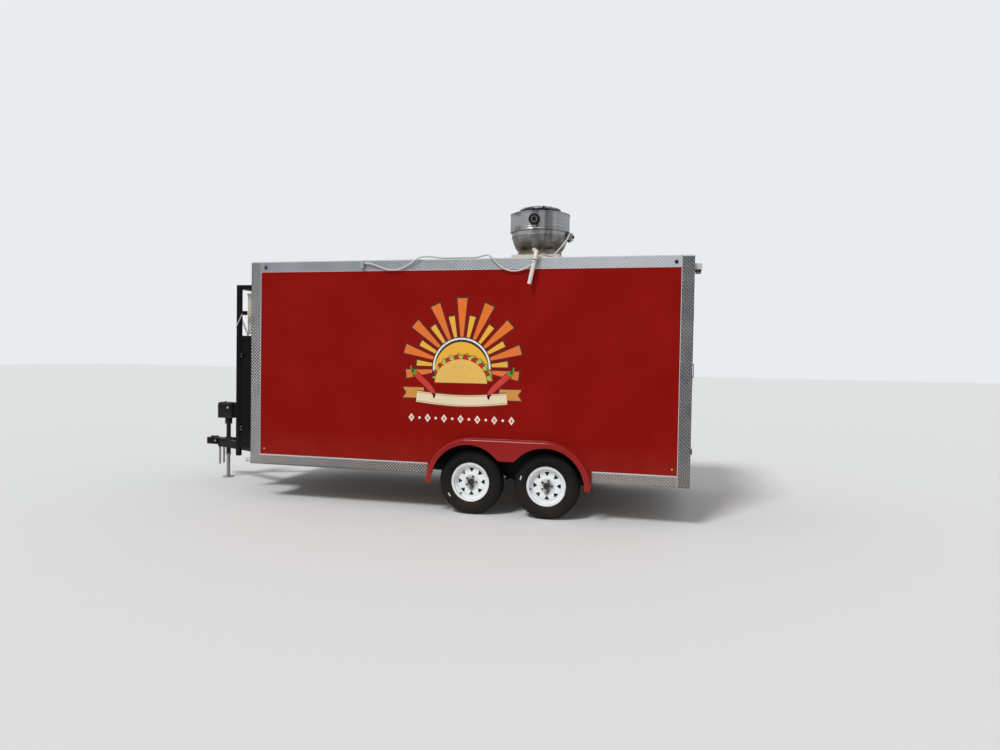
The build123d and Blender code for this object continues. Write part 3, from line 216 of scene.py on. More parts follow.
def heads(places, out, radius, height):
    """Low round screw heads: a ring at the face, one of 0.72 radius at 0.8 height, and a top point."""
    profile = [(0, -0.001), (radius, -0.001), (radius, 0.2 * height), (0.72 * radius, 0.8 * height),
               (0, height)]
    points, faces = spun(profile, (0, 0, 0), (0, 0, 1), 8)
    out = np.array(out, float)
    first = np.cross(out, (0.0, 0.0, 1.0) if abs(out[2]) < 0.5 else (0.0, 1.0, 0.0))
    turn = np.stack([first, np.cross(out, first), out], -1)
    places = np.array(places, float).reshape(-1, 3)
    return repeat(points, faces, places, np.broadcast_to(turn, (len(places), 3, 3)))


def lattice(*ranges):
    """Every combination of the given values of x, y and z, as a list of points."""
    return np.stack(np.meshgrid(*ranges, indexing="ij"), -1).reshape(-1, 3)


def made_of(name, shapes, slot, finish, smooth=False, body="trailer"):
    """One welded piece from several shapes."""
    return piece(name, *join(shapes), body, slot, finishes[finish], smooth=smooth, weld=1e-6)


# Shader helpers
def shade(color, share):
    """A colour's three parts times a share."""
    return tuple(share * c for c in color)


class Nodes:
    """Adds nodes to a node tree; a value given to a socket is a constant or another node's output."""

    def __init__(self, tree):
        self.tree = tree

    def add(self, kind, settings=None, **values):
        """A node with its settings and the values of its sockets, whose names have _ for a space."""
        node = self.tree.nodes.new("ShaderNode" + kind)
        for name, value in (settings or {}).items():
            setattr(node, name, value)
        for name, value in values.items():
            self.put(node.inputs[name.replace("_", " ")], value)
        return node

    def put(self, socket, value):
        """A link from another node, or a constant; a colour is given without its opacity."""
        if isinstance(value, bpy.types.NodeSocket):
            self.tree.links.new(value, socket)
        else:
            socket.default_value = (*value, 1.0) if socket.type == "RGBA" else value

    def math(self, operation, first, second=0.0, clamp=False):
        node = self.tree.nodes.new("ShaderNodeMath")
        node.operation, node.use_clamp = operation, clamp
        self.put(node.inputs[0], first)
        self.put(node.inputs[1], second)
        return node.outputs[0]

    def mix(self, factor, first, second):
        """The first colour turned to the second by a factor."""
        node = self.tree.nodes.new("ShaderNodeMix")
        node.data_type = "RGBA"
        self.put(node.inputs[0], factor)
        self.put(node.inputs[6], first)
        self.put(node.inputs[7], second)
        return node.outputs[2]

    def ramp(self, value, low, high, out_low=0.0, out_high=1.0):
        """A value carried straight from one range to another and held at its ends."""
        node = self.add("MapRange", {"clamp": True}, From_Min=low, From_Max=high, To_Min=out_low,
                        To_Max=out_high)
        self.put(node.inputs["Value"], value)
        return node.outputs["Result"]

    def place(self, scale=(1.0, 1.0, 1.0), shift=(0.0, 0.0, 0.0)):
        """The object's own coordinates, scaled and shifted."""
        where = self.add("TexCoord").outputs["Object"]
        node = self.add("Mapping", Vector=where)
        node.inputs["Location"].default_value = shift
        node.inputs["Scale"].default_value = scale
        return node.outputs["Vector"]

    def noise(self, vector, scale, detail=4.0, roughness=0.55):
        node = self.add("TexNoise", Vector=vector, Scale=scale, Detail=detail, Roughness=roughness)
        return node.outputs["Fac"]


def effect(name, inputs, outputs):
    """An empty node group with named sockets: (name, kind, default) going in, (name, kind) coming out."""
    group = bpy.data.node_groups.new(name, "ShaderNodeTree")
    for label, kind, default in inputs:
        socket = group.interface.new_socket(label, in_out="INPUT", socket_type="NodeSocket" + kind)
        socket.default_value = default
    for label, kind in outputs:
        group.interface.new_socket(label, in_out="OUTPUT", socket_type="NodeSocket" + kind)
    return group, Nodes(group), group.nodes.new("NodeGroupInput"), group.nodes.new("NodeGroupOutput")


def dust_effect():
    """Pale dust: all over thinly, thicker towards the ground and on surfaces that face up."""
    group, n, given, out = effect(
        "road dust",
        [("Color", "Color", (1, 1, 1, 1)), ("Roughness", "Float", 0.4),
         ("Amount", "Float", 0.3), ("Foot", "Float", 0.0), ("Reach", "Float", 1.0)],
        [("Color", "Color"), ("Roughness", "Float")])
    where = n.add("TexCoord").outputs["Object"]
    height = n.add("SeparateXYZ", Vector=where).outputs["Z"]
    cloud = n.noise(where, 3.1, 5.0, 0.6)
    speck = n.noise(where, 55.0, 3.0, 0.7)
    above = n.math("DIVIDE", n.math("SUBTRACT", height, given.outputs["Foot"]), given.outputs["Reach"])
    low = n.math("SUBTRACT", 1.0, above, clamp=True)
    up = n.add("SeparateXYZ", Vector=n.add("NewGeometry").outputs["Normal"]).outputs["Z"]
    lying = n.ramp(up, 0.3, 0.95, 0.0, 0.7)
    mask = n.math("ADD", n.math("MULTIPLY", low, n.ramp(cloud, 0.3, 0.7, 0.35, 1.0)),
                  n.math("MULTIPLY", lying, n.ramp(cloud, 0.35, 0.65, 0.3, 1.0)))
    mask = n.math("ADD", mask, n.ramp(speck, 0.6, 0.75, 0.0, 0.12))
    mask = n.math("MULTIPLY", mask, given.outputs["Amount"], clamp=True)
    n.put(out.inputs["Color"], n.mix(mask, given.outputs["Color"], (0.42, 0.33, 0.24)))
    n.put(out.inputs["Roughness"], n.math("ADD", given.outputs["Roughness"],
                                          n.math("MULTIPLY", mask, 0.5), clamp=True))
    return group


def streak_effect():
    """A mask of thin vertical runs: noise stretched along Z, kept where a broad cloud allows it."""
    group, n, given, out = effect("rain streaks", [("Width", "Float", 30.0), ("Cover", "Float", 0.5)],
                                  [("Mask", "Float")])
    where = n.add("TexCoord").outputs["Object"]
    across = n.add("VectorMath", {"operation": "MULTIPLY"})
    n.put(across.inputs[0], where)
    across.inputs[1].default_value = (1.0, 1.0, 0.03)
    lines = n.add("TexNoise", Vector=across.outputs[0], Detail=3.0, Roughness=0.6)
    n.put(lines.inputs["Scale"], given.outputs["Width"])
    cloud = n.noise(where, 1.7, 3.0)
    edge = n.math("SUBTRACT", 0.8, n.math("MULTIPLY", given.outputs["Cover"], 0.4))
    mask = n.math("MULTIPLY", n.math("SUBTRACT", lines.outputs["Fac"], edge), 9.0, clamp=True)
    n.put(out.inputs["Mask"], n.math("MULTIPLY", mask, n.ramp(cloud, 0.35, 0.65)))
    return group


def wear_effect():
    """Scratches and rubbed spots: thin bands of a turned, stretched noise and the peaks of a fine one."""
    group, n, given, out = effect("rubbed wear", [("Amount", "Float", 0.3), ("Scale", "Float", 1.0)],
                                  [("Mask", "Float"), ("Height", "Float")])
    where = n.add("TexCoord").outputs["Object"]
    sized = n.add("VectorMath", {"operation": "SCALE"})
    n.put(sized.inputs[0], where)
    n.put(sized.inputs["Scale"], given.outputs["Scale"])
    turned = n.add("Mapping", Vector=sized.outputs[0])
    turned.inputs["Rotation"].default_value = (0.4, 0.7, 0.5)
    turned.inputs["Scale"].default_value = (4.0, 90.0, 4.0)
    scratch = n.ramp(n.noise(turned.outputs["Vector"], 3.0, 2.0), 0.66, 0.7)
    spots = n.ramp(n.noise(sized.outputs[0], 42.0, 6.0, 0.7), 0.6, 0.72)
    mask = n.math("MULTIPLY", n.math("MAXIMUM", scratch, spots), given.outputs["Amount"], clamp=True)
    n.put(out.inputs["Mask"], mask)
    n.put(out.inputs["Height"], n.math("SUBTRACT", 1.0, mask))
    return group


def grain_effect():
    """A fine orange-peel height and a tone that wanders slowly over the surface."""
    group, n, given, out = effect("fine grain", [("Scale", "Float", 300.0)],
                                  [("Height", "Float"), ("Tone", "Float")])
    where = n.add("TexCoord").outputs["Object"]
    fine = n.add("TexNoise", Vector=where, Detail=2.0, Roughness=0.5)
    n.put(fine.inputs["Scale"], given.outputs["Scale"])
    n.put(out.inputs["Height"], fine.outputs["Fac"])
    n.put(out.inputs["Tone"], n.ramp(n.noise(where, 2.3, 4.0), 0.25, 0.75, 0.0, 1.0))
    return group


effects = {"dust": dust_effect(), "streaks": streak_effect(), "wear": wear_effect(), "grain": grain_effect()}


class Finish(Nodes):
    """A material with its shader, and short calls for the shared effects."""

    def __init__(self, name, **constants):
        self.material = bpy.data.materials.new(name)
        self.material.use_nodes = True
        super().__init__(self.material.node_tree)
        self.shader = self.tree.nodes["Principled BSDF"]
        for label, value in constants.items():
            self.shader.inputs[label.replace("_", " ")].default_value = value

    def use(self, effect_name, **values):
        """The outputs of a shared effect with these values."""
        node = self.tree.nodes.new("ShaderNodeGroup")
        node.node_tree = effects[effect_name]
        for label, value in values.items():
            self.put(node.inputs[label], value)
        return node.outputs

    def paint(self, color, roughness=None):
        self.put(self.shader.inputs["Base Color"], color)
        if roughness is not None:
            self.put(self.shader.inputs["Roughness"], roughness)

    def dusty(self, color, roughness, amount, foot, reach):
        """The shader's colour and roughness under dust, thickest at the foot and thin a reach above."""
        dust = self.use("dust", Color=color, Roughness=roughness, Amount=amount, Foot=foot, Reach=reach)
        self.paint(dust["Color"], dust["Roughness"])

    def bump(self, height, strength, distance):
        node = self.add("Bump", Strength=strength, Distance=distance)
        self.put(node.inputs["Height"], height)
        self.put(self.shader.inputs["Normal"], node.outputs["Normal"])


def painted(name, color, roughness, dust, foot=0.0, reach=1.0, wear=0.15, worn=(0.35, 0.33, 0.31),
            **constants):
    """Paint over metal or plastic: tone that wanders, rubbed spots, fine grain and road dust."""
    f = Finish(name, **constants)
    grain = f.use("grain", Scale=260.0)
    tone = f.mix(grain["Tone"], shade(color, 0.86), color)
    rubbed = f.use("wear", Amount=wear, Scale=1.0)
    tone = f.mix(rubbed["Mask"], tone, worn)
    f.dusty(tone, roughness, amount=dust, foot=foot, reach=reach)
    f.bump(grain["Height"], 0.08, 0.0008)
    return f.material


def lining_mask(f):
    """One on the walls' inner faces: where both |y| and x lie within the inner faces and 2 mm more."""
    where = f.add("SeparateXYZ", Vector=f.place())
    depth = wall_thickness - 0.002
    inside = f.math("MULTIPLY", f.math("LESS_THAN", f.math("ABSOLUTE", where.outputs["Y"]), side_y - depth),
                    f.math("LESS_THAN", where.outputs["X"], rear_x - depth))
    return f.math("MULTIPLY", inside, f.math("GREATER_THAN", where.outputs["X"], front_x + depth))


def red_panel():
    """Red wall skin: slow vertical waves in its flatness, faint runs, and dust towards its foot.

    Its inner faces have the room's white lining, and what stands proud of the walls is bare steel.
    """
    f = Finish("red_panel_skin", Coat_Roughness=0.12, Specular_IOR_Level=0.05)
    grain = f.use("grain", Scale=90.0)
    tone = f.mix(grain["Tone"], (0.222, 0.0028, 0.0012), (0.262, 0.0036, 0.0018))
    runs = f.use("streaks", Width=26.0, Cover=0.35)
    tone = f.mix(f.math("MULTIPLY", runs["Mask"], 0.2), tone, (0.13, 0.005, 0.004))
    dusty = f.use("dust", Color=tone, Roughness=0.36, Amount=0.045, Foot=0.42, Reach=0.4)
    where = f.add("SeparateXYZ", Vector=f.place())
    skin = 0.0008
    proud = f.math("MAXIMUM", f.math("GREATER_THAN", f.math("ABSOLUTE", where.outputs["Y"]), side_y + skin),
                   f.math("GREATER_THAN", where.outputs["X"], rear_x + skin))
    lining = f.mix(grain["Tone"], (0.66, 0.66, 0.63), (0.74, 0.74, 0.71))
    lined = f.mix(lining_mask(f), dusty["Color"], lining)
    steel = f.mix(grain["Tone"], (0.30, 0.30, 0.30), (0.46, 0.46, 0.46))
    f.paint(f.mix(proud, lined, steel), dusty["Roughness"])
    f.put(f.shader.inputs["Metallic"], f.math("MULTIPLY", proud, 0.8))
    f.put(f.shader.inputs["Coat Weight"], f.ramp(grain["Tone"], 0.0, 1.0, 0.02, 0.07))
    wave = f.noise(f.place((1.6, 1.6, 0.35)), 1.9, 2.0)
    height = f.math("ADD", wave, f.math("MULTIPLY", grain["Height"], 0.012))
    f.bump(height, 0.5, 0.006)
    return f.material


def tread_aluminium(name, dull, clean, rough, lit=None, calm=0.0, rear=None):
    """Rolled aluminium plate: grey oxide clouds, darker runs down it, and dust towards its foot.

    With lit, bumps turned one way have that tone on their sides, a painted highlight, and bumps turned the
    other way are dark, painted shade, as they catch the light in turn: on a side wall the product of the
    normal's X and Z tells them apart, on an end wall that of its Y and Z. Towards the rear both tones fade
    by the share calm. With rear, the plate turns to that tone towards the rear.
    """
    f = Finish(name, Metallic=0.6)
    grain = f.use("grain", Scale=420.0)
    cloud = f.ramp(f.noise(f.place(), 6.0, 5.0, 0.65), 0.3, 0.7)
    tone = f.mix(f.math("MULTIPLY", cloud, f.ramp(grain["Tone"], 0.0, 1.0, 0.5, 1.0)), dull, clean)
    runs = f.use("streaks", Width=34.0, Cover=0.5)
    tone = f.mix(f.math("MULTIPLY", runs["Mask"], 0.4), tone, (0.10, 0.095, 0.09))
    along = f.add("SeparateXYZ", Vector=f.place()).outputs["X"]
    if rear:
        tone = f.mix(f.ramp(along, front_x + 1.0, rear_x - 0.9, 0.0, 0.8), tone, rear)
    if lit:
        normal = f.add("SeparateXYZ", Vector=f.add("NewGeometry").outputs["Normal"])
        turns = []
        for across, out in (("X", "Y"), ("Y", "X")):
            faces_out = f.math("GREATER_THAN", f.math("ABSOLUTE", normal.outputs[out]), 0.6)
            turns.append(f.math("MULTIPLY", faces_out, normal.outputs[across]))
        lean = f.math("MULTIPLY", f.math("ADD", *turns), normal.outputs["Z"])
        share = f.ramp(along, front_x + 0.6, rear_x - 0.6, 1.0, 1.0 - calm)
        # Painted shade on bumps that lean one way, and a painted highlight in the lit tone on those that lean
        # the other
        tone = f.mix(f.math("MULTIPLY", share, f.ramp(lean, -0.02, -0.1)), tone, (0.045, 0.045, 0.047))
        tone = f.mix(f.math("MULTIPLY", share, f.ramp(lean, 0.02, 0.1)), tone, lit)
    f.dusty(tone, rough, amount=0.16, foot=0.42, reach=0.4)
    f.bump(grain["Height"], 0.1, 0.0005)
    return f.material


def spun_aluminium(name, stained):
    """Spun aluminium: fine rings round the axis, dark upright bands of painted reflection, and brown cooking
    grease low on the bowl.
    """
    f = Finish(name, Metallic=0.9)
    rings = f.noise(f.place((0.6, 0.6, 90.0)), 3.0, 4.0)
    tone = f.mix(f.ramp(rings, 0.3, 0.7), (0.24, 0.245, 0.25), (0.42, 0.425, 0.43))
    # Dark upright bands: a painted reflection of the surroundings on the curved metal
    painted_reflection_bands = f.ramp(f.noise(f.place((7.0, 7.0, 0.2)), 1.6, 2.0), 0.42, 0.6)
    tone = f.mix(f.math("MULTIPLY", painted_reflection_bands, 0.72), tone, (0.055, 0.06, 0.065))
    runs = f.use("streaks", Width=22.0, Cover=0.75)
    tone = f.mix(f.math("MULTIPLY", runs["Mask"], 0.45), tone, (0.07, 0.06, 0.05))
    if stained:
        height = f.add("SeparateXYZ", Vector=f.place()).outputs["Z"]
        low = f.ramp(height, top_z + 0.32, top_z + 0.16)
        patch = f.ramp(f.noise(f.place(), 6.0, 5.0, 0.7), 0.33, 0.6, 0.25, 1.0)
        tone = f.mix(f.math("MULTIPLY", low, patch), tone, (0.055, 0.035, 0.02))
        foot = f.ramp(height, top_z + 0.14, top_z + 0.10)
        tone = f.mix(f.math("MULTIPLY", foot, 0.6), tone, (0.30, 0.26, 0.20))
    f.dusty(tone, 0.34, amount=0.18, foot=2.7, reach=0.4)
    f.bump(rings, 0.12, 0.0006)
    return f.material


def brushed(name, color):
    """Brushed stainless sheet: fine lines along X."""
    f = Finish(name, Metallic=0.95)
    lines = f.noise(f.place((2.0, 160.0, 160.0)), 2.0, 3.0)
    tone = f.mix(f.ramp(lines, 0.3, 0.7), shade(color, 0.8), color)
    f.paint(tone, f.ramp(lines, 0.3, 0.7, 0.25, 0.42))
    f.bump(lines, 0.08, 0.0004)
    return f.material


def tyre_rubber():
    """Black rubber with tan dust in its grooves and on the sidewalls."""
    f = Finish("tyre_rubber", Specular_IOR_Level=0.12)
    grain = f.use("grain", Scale=180.0)
    tone = f.mix(grain["Tone"], (0.006, 0.006, 0.006), (0.012, 0.0115, 0.011))
    f.dusty(tone, 0.72, amount=0.05, foot=-0.1, reach=0.6)
    f.bump(grain["Height"], 0.2, 0.0008)
    return f.material


def rim_enamel(place):
    """White wheel enamel with grease thrown out from the hub and dust near the rim's edge."""
    low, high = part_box(f"rim_{place}_street")
    axle_x, axle_z = (low.x + high.x) / 2, (low.z + high.z) / 2
    f = Finish(f"rim_enamel_{place}")
    grain = f.use("grain", Scale=200.0)
    tone = f.mix(grain["Tone"], (0.80, 0.82, 0.83), (0.90, 0.92, 0.93))
    where = f.add("SeparateXYZ", Vector=f.place((1, 0, 1), (-axle_x, 0, -axle_z)))
    out = f.add("VectorMath", {"operation": "LENGTH"})
    flat = f.add("CombineXYZ", X=where.outputs["X"], Z=where.outputs["Z"])
    f.put(out.inputs[0], flat.outputs["Vector"])
    radius = out.outputs["Value"]
    cloud = f.noise(f.place(), 16.0, 5.0, 0.7)
    greasy = f.math("MULTIPLY", f.ramp(radius, 0.085, 0.035), f.ramp(cloud, 0.35, 0.65))
    run = f.add("CombineXYZ", X=f.math("MULTIPLY", where.outputs["X"], 1.5),
                Z=f.math("MULTIPLY", f.math("ADD", where.outputs["Z"], 0.052), 0.85))
    under = f.add("VectorMath", {"operation": "LENGTH"})
    f.put(under.inputs[0], run.outputs["Vector"])
    smear = f.math("MULTIPLY", f.ramp(under.outputs["Value"], 0.058, 0.03),
                   f.ramp(cloud, 0.3, 0.55, 0.3, 0.9))
    tone = f.mix(f.math("MAXIMUM", greasy, smear), tone, (0.075, 0.07, 0.065))
    edge = f.math("MULTIPLY", f.ramp(radius, 0.175, 0.2), f.ramp(cloud, 0.3, 0.7, 0.0, 0.3))
    tone = f.mix(edge, tone, (0.34, 0.28, 0.22))
    f.dusty(tone, 0.35, amount=0.08, foot=0.1, reach=0.5)
    f.bump(grain["Height"], 0.06, 0.0006)
    return f.material


def lamp_lens(name, color, glow):
    """Moulded lens plastic: clear over a ribbed inside that shows as fine bands."""
    f = Finish(name, Roughness=0.15, Coat_Roughness=0.05, Specular_IOR_Level=0.25)
    bands = f.noise(f.place((220.0, 220.0, 220.0)), 1.0, 1.0)
    f.paint(f.mix(f.ramp(bands, 0.3, 0.7), shade(color, 0.6), color))
    f.shader.inputs["Coat Weight"].default_value = 0.2
    f.put(f.shader.inputs["Emission Color"], f.mix(bands, color, shade(color, 0.5)))
    f.shader.inputs["Emission Strength"].default_value = glow
    return f.material


def marker_lens():
    """Dark red lenses high on the wall, lit amber ones low on it."""
    f = Finish("marker_lens", Roughness=0.15, Specular_IOR_Level=0.25)
    height = f.add("SeparateXYZ", Vector=f.place()).outputs["Z"]
    low = f.ramp(height, 1.6, 1.4)
    bands = f.ramp(f.noise(f.place((260.0, 260.0, 260.0)), 1.0, 1.0), 0.3, 0.7)
    amber = f.mix(bands, (0.55, 0.14, 0.02), (0.85, 0.36, 0.06))
    f.paint(f.mix(low, f.mix(bands, (0.010, 0.003, 0.003), (0.030, 0.005, 0.004)), amber))
    f.put(f.shader.inputs["Emission Color"], f.mix(low, (0, 0, 0), amber))
    f.shader.inputs["Emission Strength"].default_value = 0.35
    return f.material


def two_tone(name, above, below, height):
    """Moulded plastic of one tone above a height and another below it, with a fine cloud in both."""
    f = Finish(name, Roughness=0.4)
    where = f.add("SeparateXYZ", Vector=f.place())
    cloud = f.noise(f.place(), 40.0, 3.0)
    tones = [f.mix(cloud, shade(color, 0.85), color) for color in (above, below)]
    f.paint(f.mix(f.math("LESS_THAN", where.outputs["Z"], height), *tones))
    f.bump(cloud, 0.05, 0.0005)
    return f.material


def deck_board():
    """Plywood floor: long grain along X."""
    f = Finish("deck_board", Roughness=0.6)
    lines = f.noise(f.place((0.8, 14.0, 14.0)), 3.0, 5.0)
    f.paint(f.mix(f.ramp(lines, 0.3, 0.7), (0.20, 0.13, 0.07), (0.42, 0.30, 0.18)))
    f.bump(lines, 0.2, 0.001)
    return f.material


def film(name, color):
    """Printed vinyl film: an even colour, faded a little in clouds, with fine dust."""
    f = Finish(name, Specular_IOR_Level=0.25)
    grain = f.use("grain", Scale=140.0)
    pale = tuple(c * 0.9 + 0.02 for c in color)
    f.dusty(f.mix(grain["Tone"], pale, color), 0.4, amount=0.05, foot=0.42, reach=0.6)
    f.bump(grain["Height"], 0.05, 0.0005)
    return f.material


film_tones = {"shell": (0.80, 0.48, 0.10), "scarlet": (0.62, 0.030, 0.012), "white": (0.78, 0.77, 0.74),
              "black": (0.012, 0.011, 0.012), "orange": (0.78, 0.16, 0.012),
              "yellow": (0.85, 0.42, 0.03), "cream": (0.80, 0.68, 0.44), "gold": (0.62, 0.27, 0.04),
              "brown": (0.13, 0.035, 0.012), "green": (0.08, 0.27, 0.02), "lime": (0.36, 0.55, 0.08),
              "red": (0.45, 0.012, 0.01)}

# painted: name, colour, roughness, share of dust, height at which it starts, its reach, wear, worn tone
# tread_aluminium: name, dull tone, clean tone, roughness
finishes = {
    "red_panel": red_panel(),
    "red_steel": painted("red_fender_paint", (0.30, 0.0045, 0.0035), 0.28, 0.06, 0.3, 0.4, 0.1,
                         (0.10, 0.006, 0.005), Coat_Roughness=0.14, Coat_Weight=0.4,
                         Specular_IOR_Level=0.1),
    "roof_skin": painted("white_roof_skin", (0.72, 0.72, 0.70), 0.45, 0.5, 2.0, 1.0, 0.05),
    # The plates' ground is darker than their bumps: painted shade between the bumps and a painted highlight
    # on them
    "tread_plate": tread_aluminium("tread_plate_ground", (0.07, 0.071, 0.073), (0.14, 0.142, 0.145),
                                   0.5),
    # The top rail's paler blue-grey tones are a painted reflection of the sky
    "rail_plate": tread_aluminium("top_rail_ground", (0.15, 0.165, 0.19), (0.29, 0.31, 0.345), 0.45,
                                  rear=(0.50, 0.525, 0.55)),
    "foot_plate": tread_aluminium("foot_rail_ground", (0.05, 0.047, 0.045), (0.10, 0.094, 0.09), 0.5,
                                  rear=(0.25, 0.235, 0.22)),
    "tread_bumps": tread_aluminium("tread_plate_bumps", (0.14, 0.143, 0.145), (0.26, 0.265, 0.27), 0.3,
                                   lit=(0.92, 0.93, 0.94), calm=0.62),
    "rail_bumps": tread_aluminium("top_rail_bumps", (0.24, 0.255, 0.285), (0.42, 0.445, 0.48), 0.3,
                                  lit=(0.97, 0.98, 0.99), calm=0.62, rear=(0.68, 0.70, 0.72)),
    "foot_bumps": tread_aluminium("foot_rail_bumps", (0.10, 0.096, 0.093), (0.19, 0.182, 0.177), 0.3,
                                  lit=(0.92, 0.93, 0.94), calm=0.55, rear=(0.44, 0.42, 0.395)),
    # A pale finish for the lips that paint the highlight on the trim's edges
    "painted_highlight": painted("painted_highlight_edge", (0.62, 0.63, 0.64), 0.3, 0.08, 0.4, 1.0, 0.2,
                           (0.45, 0.44, 0.43), Metallic=0.25),
    "edge_aluminium": painted("flat_aluminium_trim", (0.40, 0.41, 0.42), 0.35, 0.15, 0.4, 1.0, 0.3,
                              (0.25, 0.24, 0.23), Metallic=0.7),
    "black_steel": painted("black_chassis_paint", (0.0045, 0.0045, 0.0048), 0.4, 0.08, 0.0, 0.8, 0.12,
                           (0.045, 0.028, 0.018), Specular_IOR_Level=0.09),
    "cream_steel": painted("cream_sheet_paint", (0.68, 0.64, 0.54), 0.4, 0.35, 1.8, 1.2, 0.12,
                           (0.35, 0.28, 0.2)),
    "cast_hub": painted("greasy_hub", (0.012, 0.011, 0.010), 0.25, 0.1, 0.0, 0.6, 0.3,
                        (0.10, 0.08, 0.06)),
    "tyre_rubber": tyre_rubber(),
    "fan_metal": spun_aluminium("spun_fan_metal", False),
    "fan_bowl": spun_aluminium("stained_bowl_metal", True),
    "stainless": brushed("brushed_stainless", (0.62, 0.62, 0.62)),
    "zinc_chain": painted("weathered_zinc", (0.30, 0.30, 0.30), 0.4, 0.4, 0.0, 0.8, 0.3,
                          (0.2, 0.1, 0.05), Metallic=0.7),
    "pale_plastic": painted("pale_conduit_plastic", (0.62, 0.61, 0.57), 0.5, 0.3, 2.0, 1.2, 0.1),
    "white_plastic": painted("white_pipe_plastic", (0.78, 0.77, 0.72), 0.3, 0.25, 2.0, 1.2, 0.05),
    "grey_plastic": painted("grey_box_plastic", (0.34, 0.34, 0.33), 0.45, 0.3, 2.0, 1.2, 0.1),
    "black_plastic": painted("black_moulded_plastic", (0.007, 0.007, 0.007), 0.45, 0.12, 0.2, 1.0, 0.1,
                             (0.04, 0.04, 0.04), Specular_IOR_Level=0.12),
    "red_lens": lamp_lens("red_lens", (0.36, 0.004, 0.003), 0.1),
    "marker_lens": marker_lens(),
    "sealant": painted("pale_sealant", (0.66, 0.65, 0.61), 0.55, 0.2, 0.4, 1.0, 0.1),
    "dark_rubber": painted("dark_rubber_seal", (0.008, 0.008, 0.008), 0.6, 0.12, 0.2, 1.0, 0.1,
                           (0.04, 0.04, 0.04), Specular_IOR_Level=0.2),
    "porch_lamp": two_tone("porch_lamp_case", above=(0.60, 0.60, 0.57), below=(0.010, 0.010, 0.011),
                           height=top_z - 0.112),
    "bright_steel": painted("bright_steel", (0.62, 0.61, 0.58), 0.25, 0.25, 0.4, 1.0, 0.25,
                            (0.3, 0.2, 0.12), Metallic=0.9),
    "screw_steel": painted("dull_screw_heads", (0.40, 0.40, 0.40), 0.42, 0.3, 0.4, 1.0, 0.25,
                            (0.16, 0.12, 0.09), Metallic=0.6),
    "roof_sealant": painted("chalky_roof_sealant", (0.60, 0.60, 0.57), 0.7, 0.5, 2.4, 1.0, 0.1),
    "webbing": painted("weathered_webbing", (0.46, 0.45, 0.41), 0.85, 0.3, 1.0, 1.5, 0.4,
                       (0.12, 0.11, 0.10)),
    "chalk_mark": painted("chalk_on_rubber", (0.62, 0.61, 0.58), 0.9, 0.2, 0.0, 0.6, 0.5,
                          (0.08, 0.08, 0.08)),
    "brass": painted("lock_brass", (0.50, 0.36, 0.13), 0.35, 0.3, 0.5, 1.5, 0.3,
                     (0.2, 0.13, 0.06), Metallic=0.8),
    "foil_label": painted("weathered_foil_label", (0.27, 0.285, 0.30), 0.5, 0.2, 2.6, 1.0, 0.75,
                          (0.14, 0.15, 0.16)),
    "clear_lens": lamp_lens("clear_lens", (0.72, 0.72, 0.70), 0.0),
    **{f"film_{tone}": film(f"film_{tone}", color) for tone, color in film_tones.items()},
    "deck_board": deck_board(),
    "rim_front": rim_enamel("front"),
    "rim_rear": rim_enamel("rear"),
}

# Finishes on the frame's own pieces; a piece not named here takes its material slot's finish
own_finish = {
    "fan_bowl": "fan_bowl", "drain_pipe": "white_plastic", "marker_lamps": "marker_lens",
    "tail_lamps": "red_lens", "jack_housing": "black_plastic", "wheel_boxes": "black_steel",
    "porch_lamp": "porch_lamp", "top_rails": "rail_plate", "bottom_rails": "foot_plate",
    "serving_frame": "edge_aluminium",
}
for part in frame["record"]["subparts"]:
    node, slot_name = part["node"], part["material_slot"]
    key = own_finish.get(node, slot_name)
    if node.startswith("rim_"):
        key = "rim_front" if "front" in node else "rim_rear"
    key = {"white_steel": "rim_front", "lamp_plastic": "red_lens"}.get(key, key)
    mesh = frame["nodes"][node].data
    mesh.materials.clear()
    mesh.materials.append(finishes[key])


# Conduit from the fan's box to the gland: the route's points, as the trailer's own frame has them, first
# from the box's middle, then from the roof's front edge on the street side
box_x, box_z = front_x + 3.517, top_z + 0.312
conduit_route = [(box_x + x, fan_y + y, box_z + z) for x, y, z in (
    (0.028, -0.060, 0.016), (0.020, -0.118, -0.034), (-0.016, -0.208, -0.116), (-0.058, -0.306, -0.196),
    (-0.092, -0.410, -0.262))]
conduit_route += [(front_x + x, -side_y + y, top_z + z) for x, y, z in (
    (3.395, 0.145, 0.034), (3.373, 0.050, 0.042), (3.345, -0.036, 0.026), (3.303, -0.031, -0.034),
    (3.240, -0.027, -0.084), (3.162, -0.024, -0.122), (3.072, -0.024, -0.138), (2.984, -0.024, -0.122),
    (2.908, -0.029, -0.074), (2.850, -0.036, -0.014), (2.800, -0.030, 0.036), (2.735, 0.034, 0.040),
    (2.640, 0.048, 0.018), (2.510, 0.032, 0.019), (2.380, 0.036, 0.018), (2.250, 0.030, 0.019),
    (2.130, 0.034, 0.038), (2.035, -0.034, 0.026), (1.945, -0.030, -0.034), (1.845, -0.024, -0.090),
    (1.740, -0.024, -0.115), (1.635, -0.024, -0.098), (1.540, -0.024, -0.060), (1.455, -0.024, -0.032),
    (1.4013, -0.024, -0.032))]


